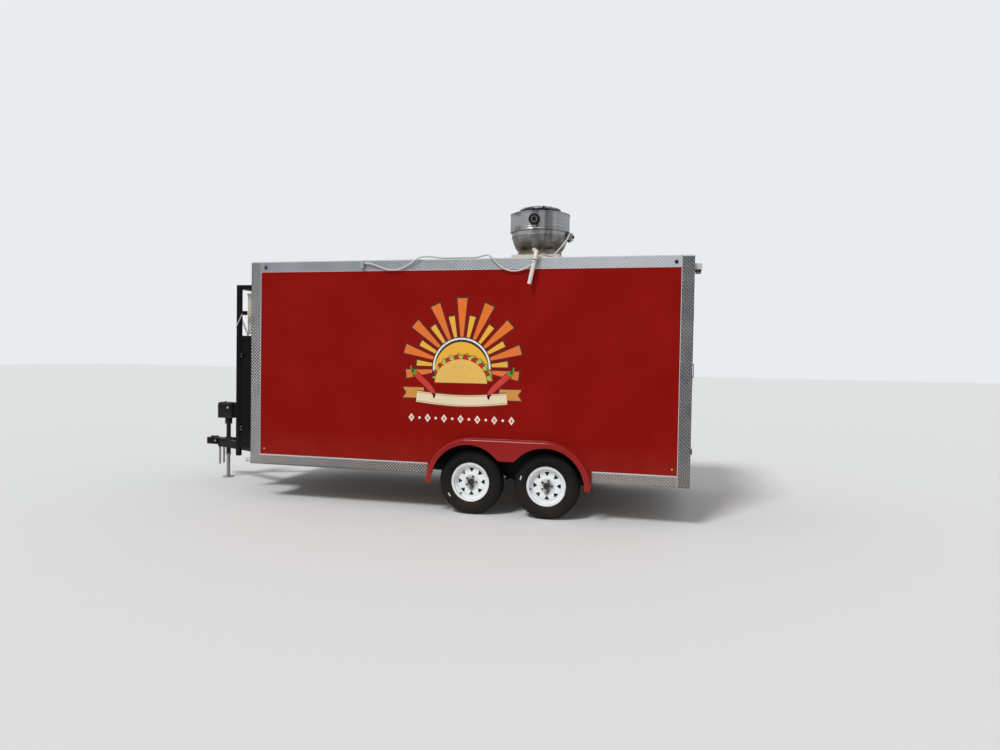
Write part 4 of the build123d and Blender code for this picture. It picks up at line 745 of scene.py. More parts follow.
def conduit(diameter):
    """The fan's wiring conduit: one smooth tube whose control points are the route's."""
    curve = bpy.data.curves.new("fan_wiring_conduit", "CURVE")
    curve.dimensions = "3D"
    curve.bevel_depth = diameter / 2
    curve.bevel_resolution = 5
    curve.resolution_u = 10
    curve.use_fill_caps = True
    line = curve.splines.new("NURBS")
    line.points.add(len(conduit_route) - 1)
    for point, place in zip(line.points, conduit_route):
        point.co = (*place, 1.0)
    line.order_u = 3
    line.use_endpoint_u = True
    curve.materials.append(finishes["pale_plastic"])
    made = bpy.data.objects.new("fan_wiring_conduit", curve)
    bpy.context.scene.collection.objects.link(made)
    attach(made, "trailer")
    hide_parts("fan_conduit")


conduit(diameter=0.018)


# Tread plate: lozenges on the aluminium trim, turned one way and the other in turn
lozenge_length, lozenge_width, lozenge_height, lozenge_pitch = 0.0232, 0.0082, 0.0015, 0.018


def lozenge():
    """A long bump with pointed ends: its foot's four corners, and the same at 0.45 size one height up."""
    foot = np.array([(0.5 * lozenge_length, 0, 0), (0, 0.5 * lozenge_width, 0),
                     (-0.5 * lozenge_length, 0, 0), (0, -0.5 * lozenge_width, 0)])
    points = np.concatenate([foot, foot * 0.45 + (0, 0, lozenge_height)])
    faces = np.array([(0, 1, 5, 4), (1, 2, 6, 5), (2, 3, 7, 6), (3, 0, 4, 7), (4, 5, 6, 7), (3, 2, 1, 0)])
    return points, faces


def tread_strip(low, along, across, outward):
    """Lozenges on a flat strip that starts at a corner.

    Centres lie on a square grid inside the strip; a lozenge is turned by +45 or -45 degrees as the sum of
    its row and column is even or odd.
    """
    length, width = np.linalg.norm(along), np.linalg.norm(across)
    u_dir, v_dir, out = along / length, across / width, np.array(outward, float)
    columns, rows = int(length / lozenge_pitch), int(width / lozenge_pitch)
    i, j = (grid.ravel() for grid in np.meshgrid(np.arange(columns), np.arange(rows), indexing="ij"))
    u = (i + 0.5) * lozenge_pitch + (length - columns * lozenge_pitch) / 2
    v = (j + 0.5) * lozenge_pitch + (width - rows * lozenge_pitch) / 2
    places = np.array(low) + u[:, None] * u_dir + v[:, None] * v_dir
    angle = np.where((i + j) % 2 == 0, pi / 4, -pi / 4)
    first = np.cos(angle)[:, None] * u_dir + np.sin(angle)[:, None] * v_dir
    turns = np.stack([first, np.cross(out, first), np.broadcast_to(out, first.shape)], -1)
    return repeat(*lozenge(), places, turns)


def strip_on_side(side, x0, x1, z0, z1):
    """A strip on a side wall's outer face, side -1 or +1, between two x and two z."""
    y = side * (side_y + trim)
    return tread_strip((x0, y, z0), np.array((x1 - x0, 0, 0)), np.array((0, 0, z1 - z0)), (0, side, 0))


def strip_on_end(end, y0, y1, z0, z1):
    """A strip on an end wall's outer face, end -1 at the front or +1 at the rear."""
    x = front_x - trim if end < 0 else rear_x + trim
    return tread_strip((x, y0, z0), np.array((0, y1 - y0, 0)), np.array((0, 0, z1 - z0)), (end, 0, 0))


def tread_plate():
    """The lozenges of the posts and rails, one piece for each family of trim."""
    margin = 0.004
    posts, tops, feet = [], [], []
    for side in (-1, 1):
        for a, b in ((front_x - trim, wall_x0), (wall_x1, rear_x + trim)):
            posts.append(strip_on_side(side, a + margin, b - margin, bottom_z + margin, top_z))
        tops.append(strip_on_side(side, wall_x0 + margin, wall_x1 - margin, rail_low.z + margin, top_z))
        for a, b in foot_spans:
            feet.append(strip_on_side(side, a + margin, b - margin, bottom_z + margin,
                                      bottom_z + foot_height - margin))
    for end in (-1, 1):
        for a, b in ((-side_y - trim, -wall_y), (wall_y, side_y + trim)):
            posts.append(strip_on_end(end, a + margin, b - margin, bottom_z + margin, top_z))
        tops.append(strip_on_end(end, margin - wall_y, wall_y - margin, rail_low.z + margin, top_z))
    feet.append(strip_on_end(-1, margin - wall_y, wall_y - margin, foot_high.z - foot_height + margin,
                             foot_high.z - margin))
    for name, strips, key in (("post_tread", posts, "tread_bumps"), ("top_rail_tread", tops, "rail_bumps"),
                              ("foot_rail_tread", feet, "foot_bumps")):
        piece(name, *join(strips), "trailer", "tread_plate", finishes[key], smooth=False)


tread_plate()


# Tyres
tread_blocks = 64


def middle(node):
    """The middle of a node's box."""
    low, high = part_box(node)
    return (low + high) / 2


def tyre_profile():
    """The tyre's closed section as radius and distance from its middle plane, with the crown's share.

    Sidewall: width 1 - 0.22 of the squared distance from its widest radius. Shoulder: a quarter ellipse.
    Crown: radius less a small part of the squared distance from the middle.
    """
    low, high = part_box("tyre_front_street")
    outer, half = (high.z - low.z) / 2, (high.y - low.y) / 2
    bead_r, widest_r, liner_r = 0.2085, 0.268, 0.1915
    side_r = np.linspace(bead_r, outer - 0.016, 20)
    flank_y = half * (1 - 0.22 * ((side_r - widest_r) / 0.063) ** 2)
    turn = np.linspace(0, pi / 2, 7)[1:]
    shoulder_y = flank_y[-1] - 0.015 * np.sin(turn) ** 2 - 0.001 * turn
    shoulder_r = side_r[-1] + 0.0145 * np.sin(turn)
    crown_half = shoulder_y[-1]
    crown_y = np.linspace(crown_half, -crown_half, 47)[1:-1]
    crown_r = outer - 0.0015 * (crown_y / crown_half) ** 2
    radius = np.concatenate([side_r, shoulder_r, crown_r, shoulder_r[::-1], side_r[::-1]])
    across = np.concatenate([flank_y, shoulder_y, crown_y, -shoulder_y[::-1], -flank_y[::-1]])
    liner_y = np.linspace(-0.070, 0.070, 8)
    radius = np.concatenate([radius, np.full(len(liner_y), liner_r)])
    return radius, np.concatenate([across, liner_y]), outer


def tyre(name):
    """A tyre with tread: the section carried round the axle, pressed in by the grooves' depth.

    Depth at angle a and distance y is the largest of: ring grooves at 17 and 47 mm that wander by a
    triangle wave of a, and cuts across the shoulders that repeat with the blocks. Both sidewalls have
    fine ribs near the bead and two raised rings.
    """
    centre = middle(f"tyre_{name}")
    radius, across, outer = tyre_profile()
    steps = tread_blocks * 6
    angle = np.arange(steps) * 2 * pi / steps
    phase = (angle * tread_blocks / (2 * pi)) % 1.0
    wander = 0.0025 * (2 * np.abs(2 * phase - 1) - 1)
    y, r = across[None, :], radius[None, :]
    depth, groove_half, groove_depth = np.zeros((steps, len(across))), 0.0045, 0.0075
    for ring in (-0.047, -0.0165, 0.0165, 0.047):
        depth = np.maximum(depth, np.clip(1 - (np.abs(y - ring - wander[:, None]) / groove_half) ** 4, 0, 1))
    cut = (phase[:, None] < 0.34) & (np.abs(y) > 0.05) & (r > outer - 0.03)
    depth = np.maximum(depth, 0.8 * cut)
    tread_part = np.clip((r - (outer - 0.02)) / 0.012, 0, 1)
    r = r - groove_depth * depth * tread_part
    ribs = 0.0008 * (np.sin(angle * 90)[:, None] > 0) * ((r > 0.232) & (r < 0.25))
    rings = 0.0012 * (np.exp(-((r - 0.226) / 0.002) ** 2) + np.exp(-((r - 0.312) / 0.002) ** 2))
    y = np.sign(y) * (np.abs(y) - 0.0014 + (ribs + rings) * (np.abs(y) > 0.07)) + 0 * r
    points = np.stack([centre.x + r * np.cos(angle)[:, None], centre.y + y,
                       centre.z + r * np.sin(angle)[:, None]], -1)
    faces = grid_faces(steps, len(across), close_u=True, close_v=True)
    made = piece(f"treaded_tyre_{name}", points, faces, f"wheel_{name}", "tyre_rubber",
                 finishes["tyre_rubber"])
    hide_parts(f"tyre_{name}")


for wheel_name in wheel_names:
    tyre(wheel_name)


# Fasteners and sealant of the trim
screw_pitch = 0.2


def trim_screws():
    """Screws in rows near both edges of the posts and rails, on the street, serving and end faces."""
    inset, low_z, high_z = 0.011, bottom_z + 0.05, top_z - 0.05
    post_z = np.arange(low_z, high_z, screw_pitch)
    post_x = (front_x + inset, wall_x0 - inset, wall_x1 + inset, rear_x - inset)
    rail_x = np.arange(wall_x0 + 0.1, wall_x1, screw_pitch)
    foot_x = rail_x[(rail_x < fender_low.x - 0.03) | (rail_x > fender_high.x + 0.03)]
    post_y = (inset - side_y, -wall_y - inset, wall_y + inset, side_y - inset)
    rail_y = np.arange(-1.0, 1.01, screw_pitch)
    foot_z = (bottom_z + inset, bottom_z + foot_height - inset)
    rail_z = (top_z - rail_height + inset, top_z - 0.02)
    head_radius, head_height = 0.0055, 0.0032
    shapes = []
    for side in (-1, 1):
        face = (side * (side_y + trim),)
        for places in (lattice(post_x, face, post_z), lattice(rail_x, face, rail_z),
                       lattice(foot_x, face, foot_z)):
            shapes.append(heads(places, (0, side, 0), head_radius, head_height))
    for end, x in ((-1, front_x - trim), (1, rear_x + trim)):
        for places in (lattice((x,), post_y, post_z), lattice((x,), rail_y, rail_z[:1])):
            shapes.append(heads(places, (end, 0, 0), head_radius, head_height))
    made_of("trim_screws", shapes, "tread_plate", "screw_steel", smooth=True)


def arch_line(radius, low, y):
    """The line over both wheels: up, a quarter circle, level, a quarter circle, and down."""
    hubs = [middle(f"tyre_{end}_street") for end in ("front", "rear")]
    angle = np.linspace(pi, pi / 2, 20)
    left = np.stack([hubs[0].x + radius * np.cos(angle), hubs[0].z + radius * np.sin(angle)], -1)
    right = np.stack([hubs[1].x - radius * np.cos(angle), hubs[1].z + radius * np.sin(angle)], -1)[::-1]
    ends = [[(left[0, 0], low)], [(right[-1, 0], low)]]
    line = np.concatenate([ends[0], left, right, ends[1]])
    return np.stack([line[:, 0], np.full(len(line), y), line[:, 1]], -1)


def wall_sealant():
    """Round beads in the corners between skin and trim, and between skin and fender."""
    bead = round_section(0.0034, 6)
    z0, z1 = bottom_z + foot_height, top_z - rail_height
    proud, arch_radius = 0.0006, 0.4715
    shapes, arches = [], []
    for side in (-1, 1):
        y = side * (side_y + proud)
        lines = [((x, y, z0), (x, y, z1)) for x in (wall_x0, wall_x1)]
        lines += [((wall_x0, y, z1), (wall_x1, y, z1))] + [((a, y, z0), (b, y, z0)) for a, b in foot_spans]
        shapes += [stick(start, end, (0, 1, 0), bead) for start, end in lines]
        over = arch_line(arch_radius, bottom_z + 0.002, side * (side_y + 0.001))
        arches.append(bent(over, (0, 1, 0), round_section(0.0042, 6)))
    for x in (front_x - proud, rear_x + proud):
        for y in (-wall_y, wall_y):
            shapes.append(stick((x, y, z0), (x, y, z1), (1, 0, 0), bead))
        shapes.append(stick((x, -wall_y, z1), (x, wall_y, z1), (1, 0, 0), bead))
    made_of("wall_sealant", shapes, "grey_plastic", "sealant", smooth=True)
    made_of("arch_sealant", arches, "red_steel", "red_steel", smooth=True)


def painted_highlight_lips():
    """Painted highlight: pale lips down each post, round the roof's edge and along each foot rail, where
    edges catch the light.
    """
    z0, z1 = bottom_z + 0.001, top_z + trim
    sunk, proud, foot_proud, half_lip, roof_lip, cut = 0.0006, 0.0013, 0.0018, 0.003, 0.011, 0.0005
    shapes = []
    for side in (-1, 1):
        y0, y1 = sorted((side * (side_y + trim - sunk), side * (side_y + trim + proud)))
        for x in (wall_x0, wall_x1):
            shapes.append(plate((x - half_lip, y0, z0), (x + half_lip, y1, z1), cut))
        shapes.append(plate((front_x - trim, y0, z1 - roof_lip), (rear_x + trim, y1, z1 + 0.001), cut))
        y0, y1 = sorted((side * (side_y + trim - sunk), side * (side_y + trim + foot_proud)))
        for a, b in ((wall_x0 + 0.004, fender_low.x - 0.005), (fender_high.x + 0.005, wall_x1 - 0.004)):
            shapes.append(plate((a, y0, bottom_z + 0.1035), (b, y1, bottom_z + 0.1125), cut))
    for end, x in ((-1, front_x - trim), (1, rear_x + trim)):
        x0, x1 = sorted((x - end * sunk, x + end * proud))
        for y in (-wall_y, wall_y):
            shapes.append(plate((x0, y - half_lip, z0), (x1, y + half_lip, z1), cut))
        shapes.append(plate((x0, -side_y - trim, z1 - roof_lip), (x1, side_y + trim, z1 + 0.001), cut))
    made_of("painted_highlight_lips", shapes, "tread_plate", "painted_highlight")


def roof_seams():
    """Lapped roof sheets: a low rib of sealant across the roof at each lap, and beads at rails and curb."""
    rib, bead = flat_section(0.0036, 0.05, 0.0012), round_section(0.008, 8)
    thin_bead = round_section(0.004, 6)
    inner, thin_z, up = side_y - 0.0605, top_z + 0.001, (0, 0, 1)
    shapes = [stick((front_x + lap, -inner, top_z), (front_x + lap, inner, top_z), up, rib)
              for lap in (1.22, 2.44, 3.66)]
    shapes += [stick((curb_low.x, y, top_z), (curb_high.x, y, top_z), up, bead)
               for y in (curb_low.y, curb_high.y)]
    shapes += [stick((x, curb_low.y, top_z), (x, curb_high.y, top_z), up, bead)
               for x in (curb_low.x, curb_high.x)]
    shapes += [stick((front_x + 0.06, y, thin_z), (rear_x - 0.06, y, thin_z), up, thin_bead)
               for y in (-inner, inner)]
    made_of("roof_sealant", shapes, "grey_plastic", "roof_sealant", smooth=True)


trim_screws()
wall_sealant()
painted_highlight_lips()
roof_seams()


# Side film: a rising sun behind a taco, a blank banner and two chillies, under it a row of diamonds
film_step = 0.0005
design_x, sun_z = 0.757, 1.56


def film_between(first, second, layer):
    """Film between two lines of (x, z) points: its front a few steps proud of the skin, its back in it."""
    first, second = np.array(first, float), np.array(second, float)
    front, back = -side_y - film_step * layer, -side_y + 0.0004
    rings = np.stack([np.insert(line, 1, depth, axis=1)
                      for line, depth in ((first, front), (second, front), (second, back), (first, back))], 1)
    return closed_tube(rings)


def film_dot(x, z, radius, layer, height=1.0, steps=14, lower=1.0):
    """A round or oval dot between its lower and upper half circles, height times as tall as wide."""
    across = radius * np.cos(np.linspace(pi, 0, steps))
    rise = height * np.sqrt(np.maximum(radius ** 2 - across ** 2, 0))
    return film_between(np.stack([x + across, z - lower * rise], -1), np.stack([x + across, z + rise], -1),
                        layer)


def film_arch(x, z, radius, layer, height=1.0):
    """A half disc that stands on its flat side, height times as tall as its radius."""
    return film_dot(x, z, radius, layer, height, steps=40, lower=0.0)


def film_diamond(x, z, half_width, half_height, layer):
    """A diamond between two bent lines."""
    across = x + half_width * np.array([-1.0, 0.0, 1.0])
    rise = half_height * np.array([0.0, 1.0, 0.0])
    return film_between(np.stack([across, z - rise], -1), np.stack([across, z + rise], -1), layer)


def film_ray(angle, half_inner, half_outer, inner, outer, layer):
    """A ray from the sun: its sides run from the inner to the outer radius at angles about its own."""
    reach, turn = np.array([inner, outer]), np.array([half_inner, half_outer])
    lines = [np.stack([design_x + reach * np.cos(angle + sign * turn),
                       sun_z + reach * np.sin(angle + sign * turn)], -1) for sign in (-1, 1)]
    return film_between(*lines, layer)


def film_arc(inner, outer, low, high, layer):
    """Part of a ring round the sun between two angles."""
    angle = np.linspace(low, high, 60)
    way = np.stack([np.cos(angle), np.sin(angle)], -1)
    centre = np.array((design_x, sun_z))
    return film_between(centre + inner * way, centre + outer * way, layer)


def film_curve(centre_line, half_width, layer):
    """Film along a line of (x, z) points, half_width to each side of it."""
    line = np.array(centre_line, float)
    run = np.gradient(line, axis=0)
    side = np.stack([-run[:, 1], run[:, 0]], -1) / np.linalg.norm(run, axis=1)[:, None]
    width = np.broadcast_to(half_width, len(line))[:, None]
    return film_between(line - side * width, line + side * width, layer)


def printed(name, shapes, finish):
    """One piece of film, which has no slot of the trailer's own."""
    made_of(name, shapes, None, finish)


def sun_and_rays():
    """A half sun inside two thin arcs, and rays round them that widen outwards, long and short in turn."""
    low, high = -0.12, pi + 0.12
    angles = np.linspace(low, high, 17)
    long_rays = [film_ray(a, 0.05, 0.075, 0.33, 0.64 + 0.1 * np.sin(a), 2) for a in angles[::2]]
    short_rays = [film_ray(a, 0.05, 0.06, 0.33, 0.50 + 0.06 * np.sin(a), 2) for a in angles[1::2]]
    under = [film_ray(a, 0.075, 0.09, 0.32, 0.655 + 0.1 * np.sin(a), 1) for a in angles[::2]]
    under += [film_ray(a, 0.075, 0.078, 0.32, 0.515 + 0.06 * np.sin(a), 1) for a in angles[1::2]]
    printed("film_ray_edges", under + [film_arc(0.27, 0.33, low - 0.2, high + 0.2, 1)], "film_black")
    printed("film_long_rays", long_rays, "film_orange")
    printed("film_short_rays", short_rays, "film_yellow")
    printed("film_sun", [film_arch(design_x, sun_z - 0.06, 0.305, 2, height=1.1)], "film_yellow")
    printed("film_sun_edge", [film_arc(0.30, 0.32, low, high, 3)], "film_white")


def taco():
    """Two half-round shells with a wavy leaf, tomato and cheese between them."""
    x, z = design_x, 1.40
    angle = np.linspace(0.06, pi - 0.06, 120)
    wave = 0.315 + 0.014 * np.sin(23 * angle) + 0.006 * np.sin(41 * angle + 1.0)
    leaf_out = np.stack([x + 0.01 + wave * np.cos(angle), z + 0.03 + 0.86 * wave * np.sin(angle)], -1)
    leaf_in = np.stack([x + 0.25 * np.cos(angle), z + 0.03 + 0.86 * 0.2 * np.sin(angle)], -1)
    grow = 1.0 + 0.008 / wave[:, None]
    centre = np.array((x + 0.01, z + 0.03))
    dots = np.linspace(0.35, pi - 0.35, 8)
    tomato, tomato_edge = ([film_dot(x + 0.285 * np.cos(a), z + 0.02 + 0.25 * np.sin(a), radius, layer,
                                     height=0.9) for a in dots] for radius, layer in ((0.034, 6), (0.039, 5)))
    between_dots = (dots[1:] + dots[:-1]) / 2
    cheese = [film_curve([(x + r * np.cos(a + 0.1 * t), z + 0.02 + 0.87 * r * np.sin(a + 0.1 * t))
                          for r, t in ((0.22, -1), (0.27, 0), (0.305, 1))], 0.008, 7) for a in between_dots]
    spots = np.random.default_rng(7).uniform((0.25, 0.05), (pi - 0.25, 0.22), (34, 2))
    specks = [film_dot(x + r * np.cos(a), z + 0.85 * r * np.sin(a), 0.0035 + 0.012 * r, 9, height=0.7)
              for a, r in spots]
    printed("film_taco_edges", [film_arch(x + 0.035, z + 0.02, 0.312, 3, height=0.9),
                                film_between((leaf_out - centre) * grow + centre, leaf_in, 4)]
            + tomato_edge + [film_arch(x - 0.005, z - 0.008, 0.297, 8, height=0.88)], "film_brown")
    printed("film_taco_back", [film_arch(x + 0.035, z + 0.028, 0.304, 4, height=0.89)], "film_gold")
    printed("film_leaf", [film_between(leaf_out, leaf_in, 5)], "film_lime")
    printed("film_tomato", tomato, "film_red")
    printed("film_cheese", cheese, "film_yellow")
    printed("film_taco_front", [film_arch(x - 0.005, z, 0.289, 9, height=0.87)], "film_shell")
    printed("film_taco_specks", [(points - (0, film_step * 1.2, 0) * (points[:, 1:2] < -side_y), faces)
                                 for points, faces in specks], "film_gold")


def chillies():
    """A curved chilli each side of the taco: widest near its cap, drawn out to a point."""
    t = np.linspace(0, 1, 26)
    red, edge, caps, stems = [], [], [], []
    for side in (-1, 1):
        line = np.stack([design_x + side * (0.53 - 0.22 * t - 0.09 * np.sin(pi * t)),
                         1.50 - 0.27 * t - 0.05 * np.sin(pi * t)], -1)
        width = 0.036 * (1 - t) ** 0.6 * (0.75 + 0.25 * np.sin(pi * t)) + 0.0015
        red.append(film_curve(line, width, 5))
        edge.append(film_curve(line, width + 0.007, 4))
        caps.append(film_dot(design_x + side * 0.535, 1.508, 0.036, 6, height=0.75))
        stems.append(film_curve([(design_x + side * 0.54, 1.51), (design_x + side * 0.565, 1.54),
                                 (design_x + side * 0.57, 1.575)], 0.008, 6))
    printed("film_chilli_edges", edge, "film_black")
    printed("film_chillies", red, "film_scarlet")
    printed("film_chilli_caps", caps + stems, "film_green")


def banner():
    """A blank banner that sags in the middle, with folded tails, over a row of diamonds and dots."""
    x = np.linspace(-0.5, 0.5, 40)
    fold = np.stack([design_x + x, 1.245 - 0.035 * np.cos(pi * x)], -1)
    tails, tail_edges = [], []
    for side in (-1, 1):
        for store, grow, layer in ((tail_edges, 0.008, 2), (tails, 0.0, 3)):
            z = np.array([-0.055 - grow, 0.0, 0.055 + grow])
            outer = np.array([0.655 + grow, 0.615 + 2 * grow, 0.655 + grow])
            lines = [np.stack([design_x + side * reach, 1.285 + z], -1)
                     for reach in (np.full(3, 0.42), outer)]
            store.append(film_between(*lines, layer))
    printed("film_banner_edges", tail_edges + [film_curve(fold, 0.068, 4)], "film_brown")
    printed("film_banner_tails", tails, "film_gold")
    printed("film_banner", [film_curve(fold, 0.058, 5)], "film_cream")
    lines = [film_curve(fold + (0, shift), 0.0022, 6) for shift in (-0.046, 0.046)]
    printed("film_banner_lines", lines, "film_scarlet")
    places, row_z = np.linspace(0.20, 1.31, 13), 1.015
    printed("film_diamonds", [film_diamond(place, row_z, 0.033, 0.045, 1) for place in places[::2]]
            + [film_dot(place, row_z, 0.014, 1) for place in places[1::2]], "film_white")
    printed("film_diamond_hearts", [film_diamond(place, row_z, 0.017, 0.023, 2) for place in places[::2]],
            "film_orange")


sun_and_rays()
taco()
chillies()
banner()


# Small parts of the roof fan, its box and its pipe
band_radius, port_z = 0.33, top_z + 0.461


def around_fan(radius, z, count, start=0.0):
    """Places on a level circle about the fan's axis, and the direction outwards at each."""
    angle = start + np.arange(count) * 2 * pi / count
    out = np.stack([np.cos(angle), np.sin(angle), 0 * angle], -1)
    return np.array((fan_x, fan_y, z)) + radius * out, out


def fan_fasteners():
    """Rivets round the windband's foot and rim, and screws through the bowl's flange into the curb."""
    shapes, size, flange_radius = [], 0.0045, 0.249
    for z, count in ((fan_low.z + 0.053, 24), (fan_high.z - 0.026, 12)):
        places, out = around_fan(band_radius, z, count, start=0.13)
        turns = np.stack([np.cross(out, (0, 0, 1)), np.broadcast_to((0.0, 0.0, 1.0), out.shape), out], -1)
        profile = [(0, -0.001), (size, -0.001), (size, 0.0006), (0.7 * size, 0.0022), (0, 0.0026)]
        shapes.append(repeat(*spun(profile, (0, 0, 0), (0, 0, 1), 8), places, turns))
    flange, _ = around_fan(flange_radius, curb_high.z + 0.004, 12)
    corners = lattice((fan_x - 0.24, fan_x + 0.24), (fan_y - 0.24, fan_y + 0.24), (curb_high.z,))
    shapes += [heads(places, (0, 0, 1), 0.007, 0.004) for places in (flange, corners)]
    made_of("fan_fasteners", shapes, "fan_metal", "screw_steel", smooth=True)


def fan_port():
    """A rubber sleeve round the windband's port, a grey ring, the dark plug behind and a tab below."""
    centre = (fan_x, fan_low.y, port_z)
    out = (0, -1, 0)
    sleeve = [(0.0365, -0.005), (0.0375, 0.004), (0.044, 0.0065), (0.055, 0.006), (0.0615, 0.0),
              (0.0625, -0.022), (0.0575, -0.024), (0.0575, -0.001), (0.0365, -0.001)]
    made_of("port_sleeve", [spun(sleeve, centre, out, 48)], "grey_plastic", "dark_rubber", smooth=True)
    ring = [(0.0285, -0.0052), (0.0285, 0.0005), (0.0325, 0.0005), (0.0325, -0.0052)]
    made_of("port_ring", [spun(ring, centre, out, 40)], "fan_metal", "zinc_chain")
    plug = [(0, -0.007), (0.0362, -0.007), (0.0362, -0.0052), (0.020, -0.0044), (0, -0.0044)]
    made_of("port_plug", [spun(plug, centre, out, 40)], "grey_plastic", "black_plastic", smooth=True)
    y, x0, x1 = fan_y - band_radius, fan_x - 0.021, fan_x + 0.021
    tab = [plate((x0, y - 0.006, port_z - 0.098), (x1, y - 0.002, port_z - 0.06)),
           plate((x0, y - 0.016, port_z - 0.064), (x1, y - 0.002, port_z - 0.060)),
           heads(lattice((fan_x - 0.012, fan_x + 0.012), (y - 0.006,), (port_z - 0.082,)), (0, -1, 0),
                 0.004, 0.003)]
    made_of("port_bracket", tab, "fan_metal", "zinc_chain")


def windband_label():
    """A blank, weathered foil label on the windband, left of its port: a sheet bent to the band's radius."""
    angle = np.radians(np.linspace(-148, -112, 24))
    inner, outer, z0, z1 = band_radius - 0.0006, band_radius + 0.0007, top_z + 0.405, top_z + 0.512
    rings = [np.stack([fan_x + radius * np.cos(angle), fan_y + radius * np.sin(angle), 0 * angle + z], -1)
             for radius, z in ((inner, z0), (outer, z0), (outer, z1), (inner, z1))]
    made_of("windband_label", [closed_tube(np.stack(rings, 1))], "fan_metal", "foil_label")


def fan_lid_parts():
    """A dark bolt in the lid's near edge, screws round its crown, its hem, and a bead round the bowl."""
    axis = (0, 0, 1)
    bolt = [(0, -0.004), (0.009, -0.004), (0.0115, 0.002), (0.0115, 0.010), (0.008, 0.013), (0, 0.013)]
    bolt_at, bolt_out = (fan_x + 0.077, fan_y - 0.2167, top_z + 0.612), (0.335, -0.942, 0)
    made_of("lid_bolt", [spun(bolt, bolt_at, bolt_out, 20)], "grey_plastic", "black_plastic", smooth=True)
    places, _ = around_fan(0.2, top_z + 0.6265, 8)
    hem = spun([(0.2305, -0.002), (0.2335, 0.001), (0.2335, 0.006), (0.2305, 0.009), (0.2285, 0.0035)],
               (fan_x, fan_y, top_z + 0.598), axis, 96)
    made_of("lid_hem", [hem, heads(places, axis, 0.006, 0.004)], "fan_metal", "fan_metal", smooth=True)
    bead = [(0.3125, 0.0), (0.3175, 0.003), (0.3175, 0.007), (0.3125, 0.010)]
    made_of("bowl_bead", [spun(bead, (fan_x, fan_y, top_z + 0.30), axis, 96)], "fan_metal",
            "fan_bowl", smooth=True)


def fan_box_parts():
    """The junction box's cover and screws, its isolator knob, and the pad between box and bowl."""
    face_x = box_x + 0.052
    cover = plate((face_x, fan_y - 0.036, box_z - 0.038), (face_x + 0.004, fan_y + 0.036, box_z + 0.038))
    screws = heads(lattice((face_x + 0.004,), (fan_y - 0.03, fan_y + 0.03), (box_z - 0.032, box_z + 0.032)),
                   (1, 0, 0), 0.004, 0.0025)
    made_of("box_cover", [cover, screws], "grey_plastic", "grey_plastic")
    knob = [(0, -0.001), (0.019, -0.001), (0.019, 0.004), (0.0145, 0.006), (0.013, 0.016), (0.010, 0.018),
            (0, 0.018)]
    grip = plate((face_x + 0.006, fan_y - 0.004, box_z - 0.017),
                 (face_x + 0.023, fan_y + 0.004, box_z + 0.017))
    made_of("isolator_knob", [spun(knob, (face_x + 0.004, fan_y, box_z), (1, 0, 0), 28), grip],
            "grey_plastic", "black_plastic")
    pad = plate((box_x - 0.006, fan_y - 0.037, box_z - 0.046), (box_x + 0.002, fan_y + 0.037, box_z + 0.046))
    strap = plate((box_x + 0.001, fan_y - 0.041, box_z - 0.052),
                  (box_x + 0.03, fan_y + 0.041, box_z - 0.0405))
    made_of("box_pad", [pad, strap], "grey_plastic", "dark_rubber")


def pipe_parts():
    """Sleeves on the drain pipe at its elbow, a dark tie on it and the bracket that holds it off the rail."""
    top = np.array((fan_x + 0.106, -side_y - 0.064, top_z + 0.048))
    foot = np.array((fan_x + 0.036, -side_y - 0.064, top_z - 0.274))
    back = np.array((fan_x + 0.020, -side_y + 0.240, top_z + 0.120))
    down, over = foot - top, top - back
    sleeve = round_section(0.0228, 24)
    aside = np.cross(over, (0, 0, 1))
    shapes = [stick(top + 0.2 * down, top + 0.34 * down, (0, 1, 0), sleeve),
              stick(back + 0.66 * over, back + 0.8 * over, aside / np.linalg.norm(aside), sleeve)]
    made_of("pipe_sleeves", shapes, "pale_plastic", "white_plastic", smooth=True)
    at = top + 0.235 * down
    tie = stick(at - 0.012 * down, at + 0.018 * down, (0, 1, 0), round_section(0.0238, 24))
    (x, _, z), face, cut = at, -side_y - trim, 0.0006
    arm = plate((x - 0.006, face - 0.042, z - 0.002), (x + 0.006, face + 0.001, z + 0.002), cut)
    foot_pad = plate((x - 0.009, face - 0.0025, z - 0.018), (x + 0.009, face + 0.0005, z + 0.018), cut)
    made_of("pipe_tie", [tie, arm, foot_pad], "grey_plastic", "black_plastic")


fan_fasteners()
fan_port()
windband_label()
fan_lid_parts()
fan_box_parts()
pipe_parts()


# Wheels' small parts
valve_angles = {"front_street": radians(229), "rear_street": radians(194), "front_serving": radians(70),
                "rear_serving": radians(310)}
scuffs = {"front_street": (radians(212.4), 0.265), "rear_street": (radians(163), 0.277)}


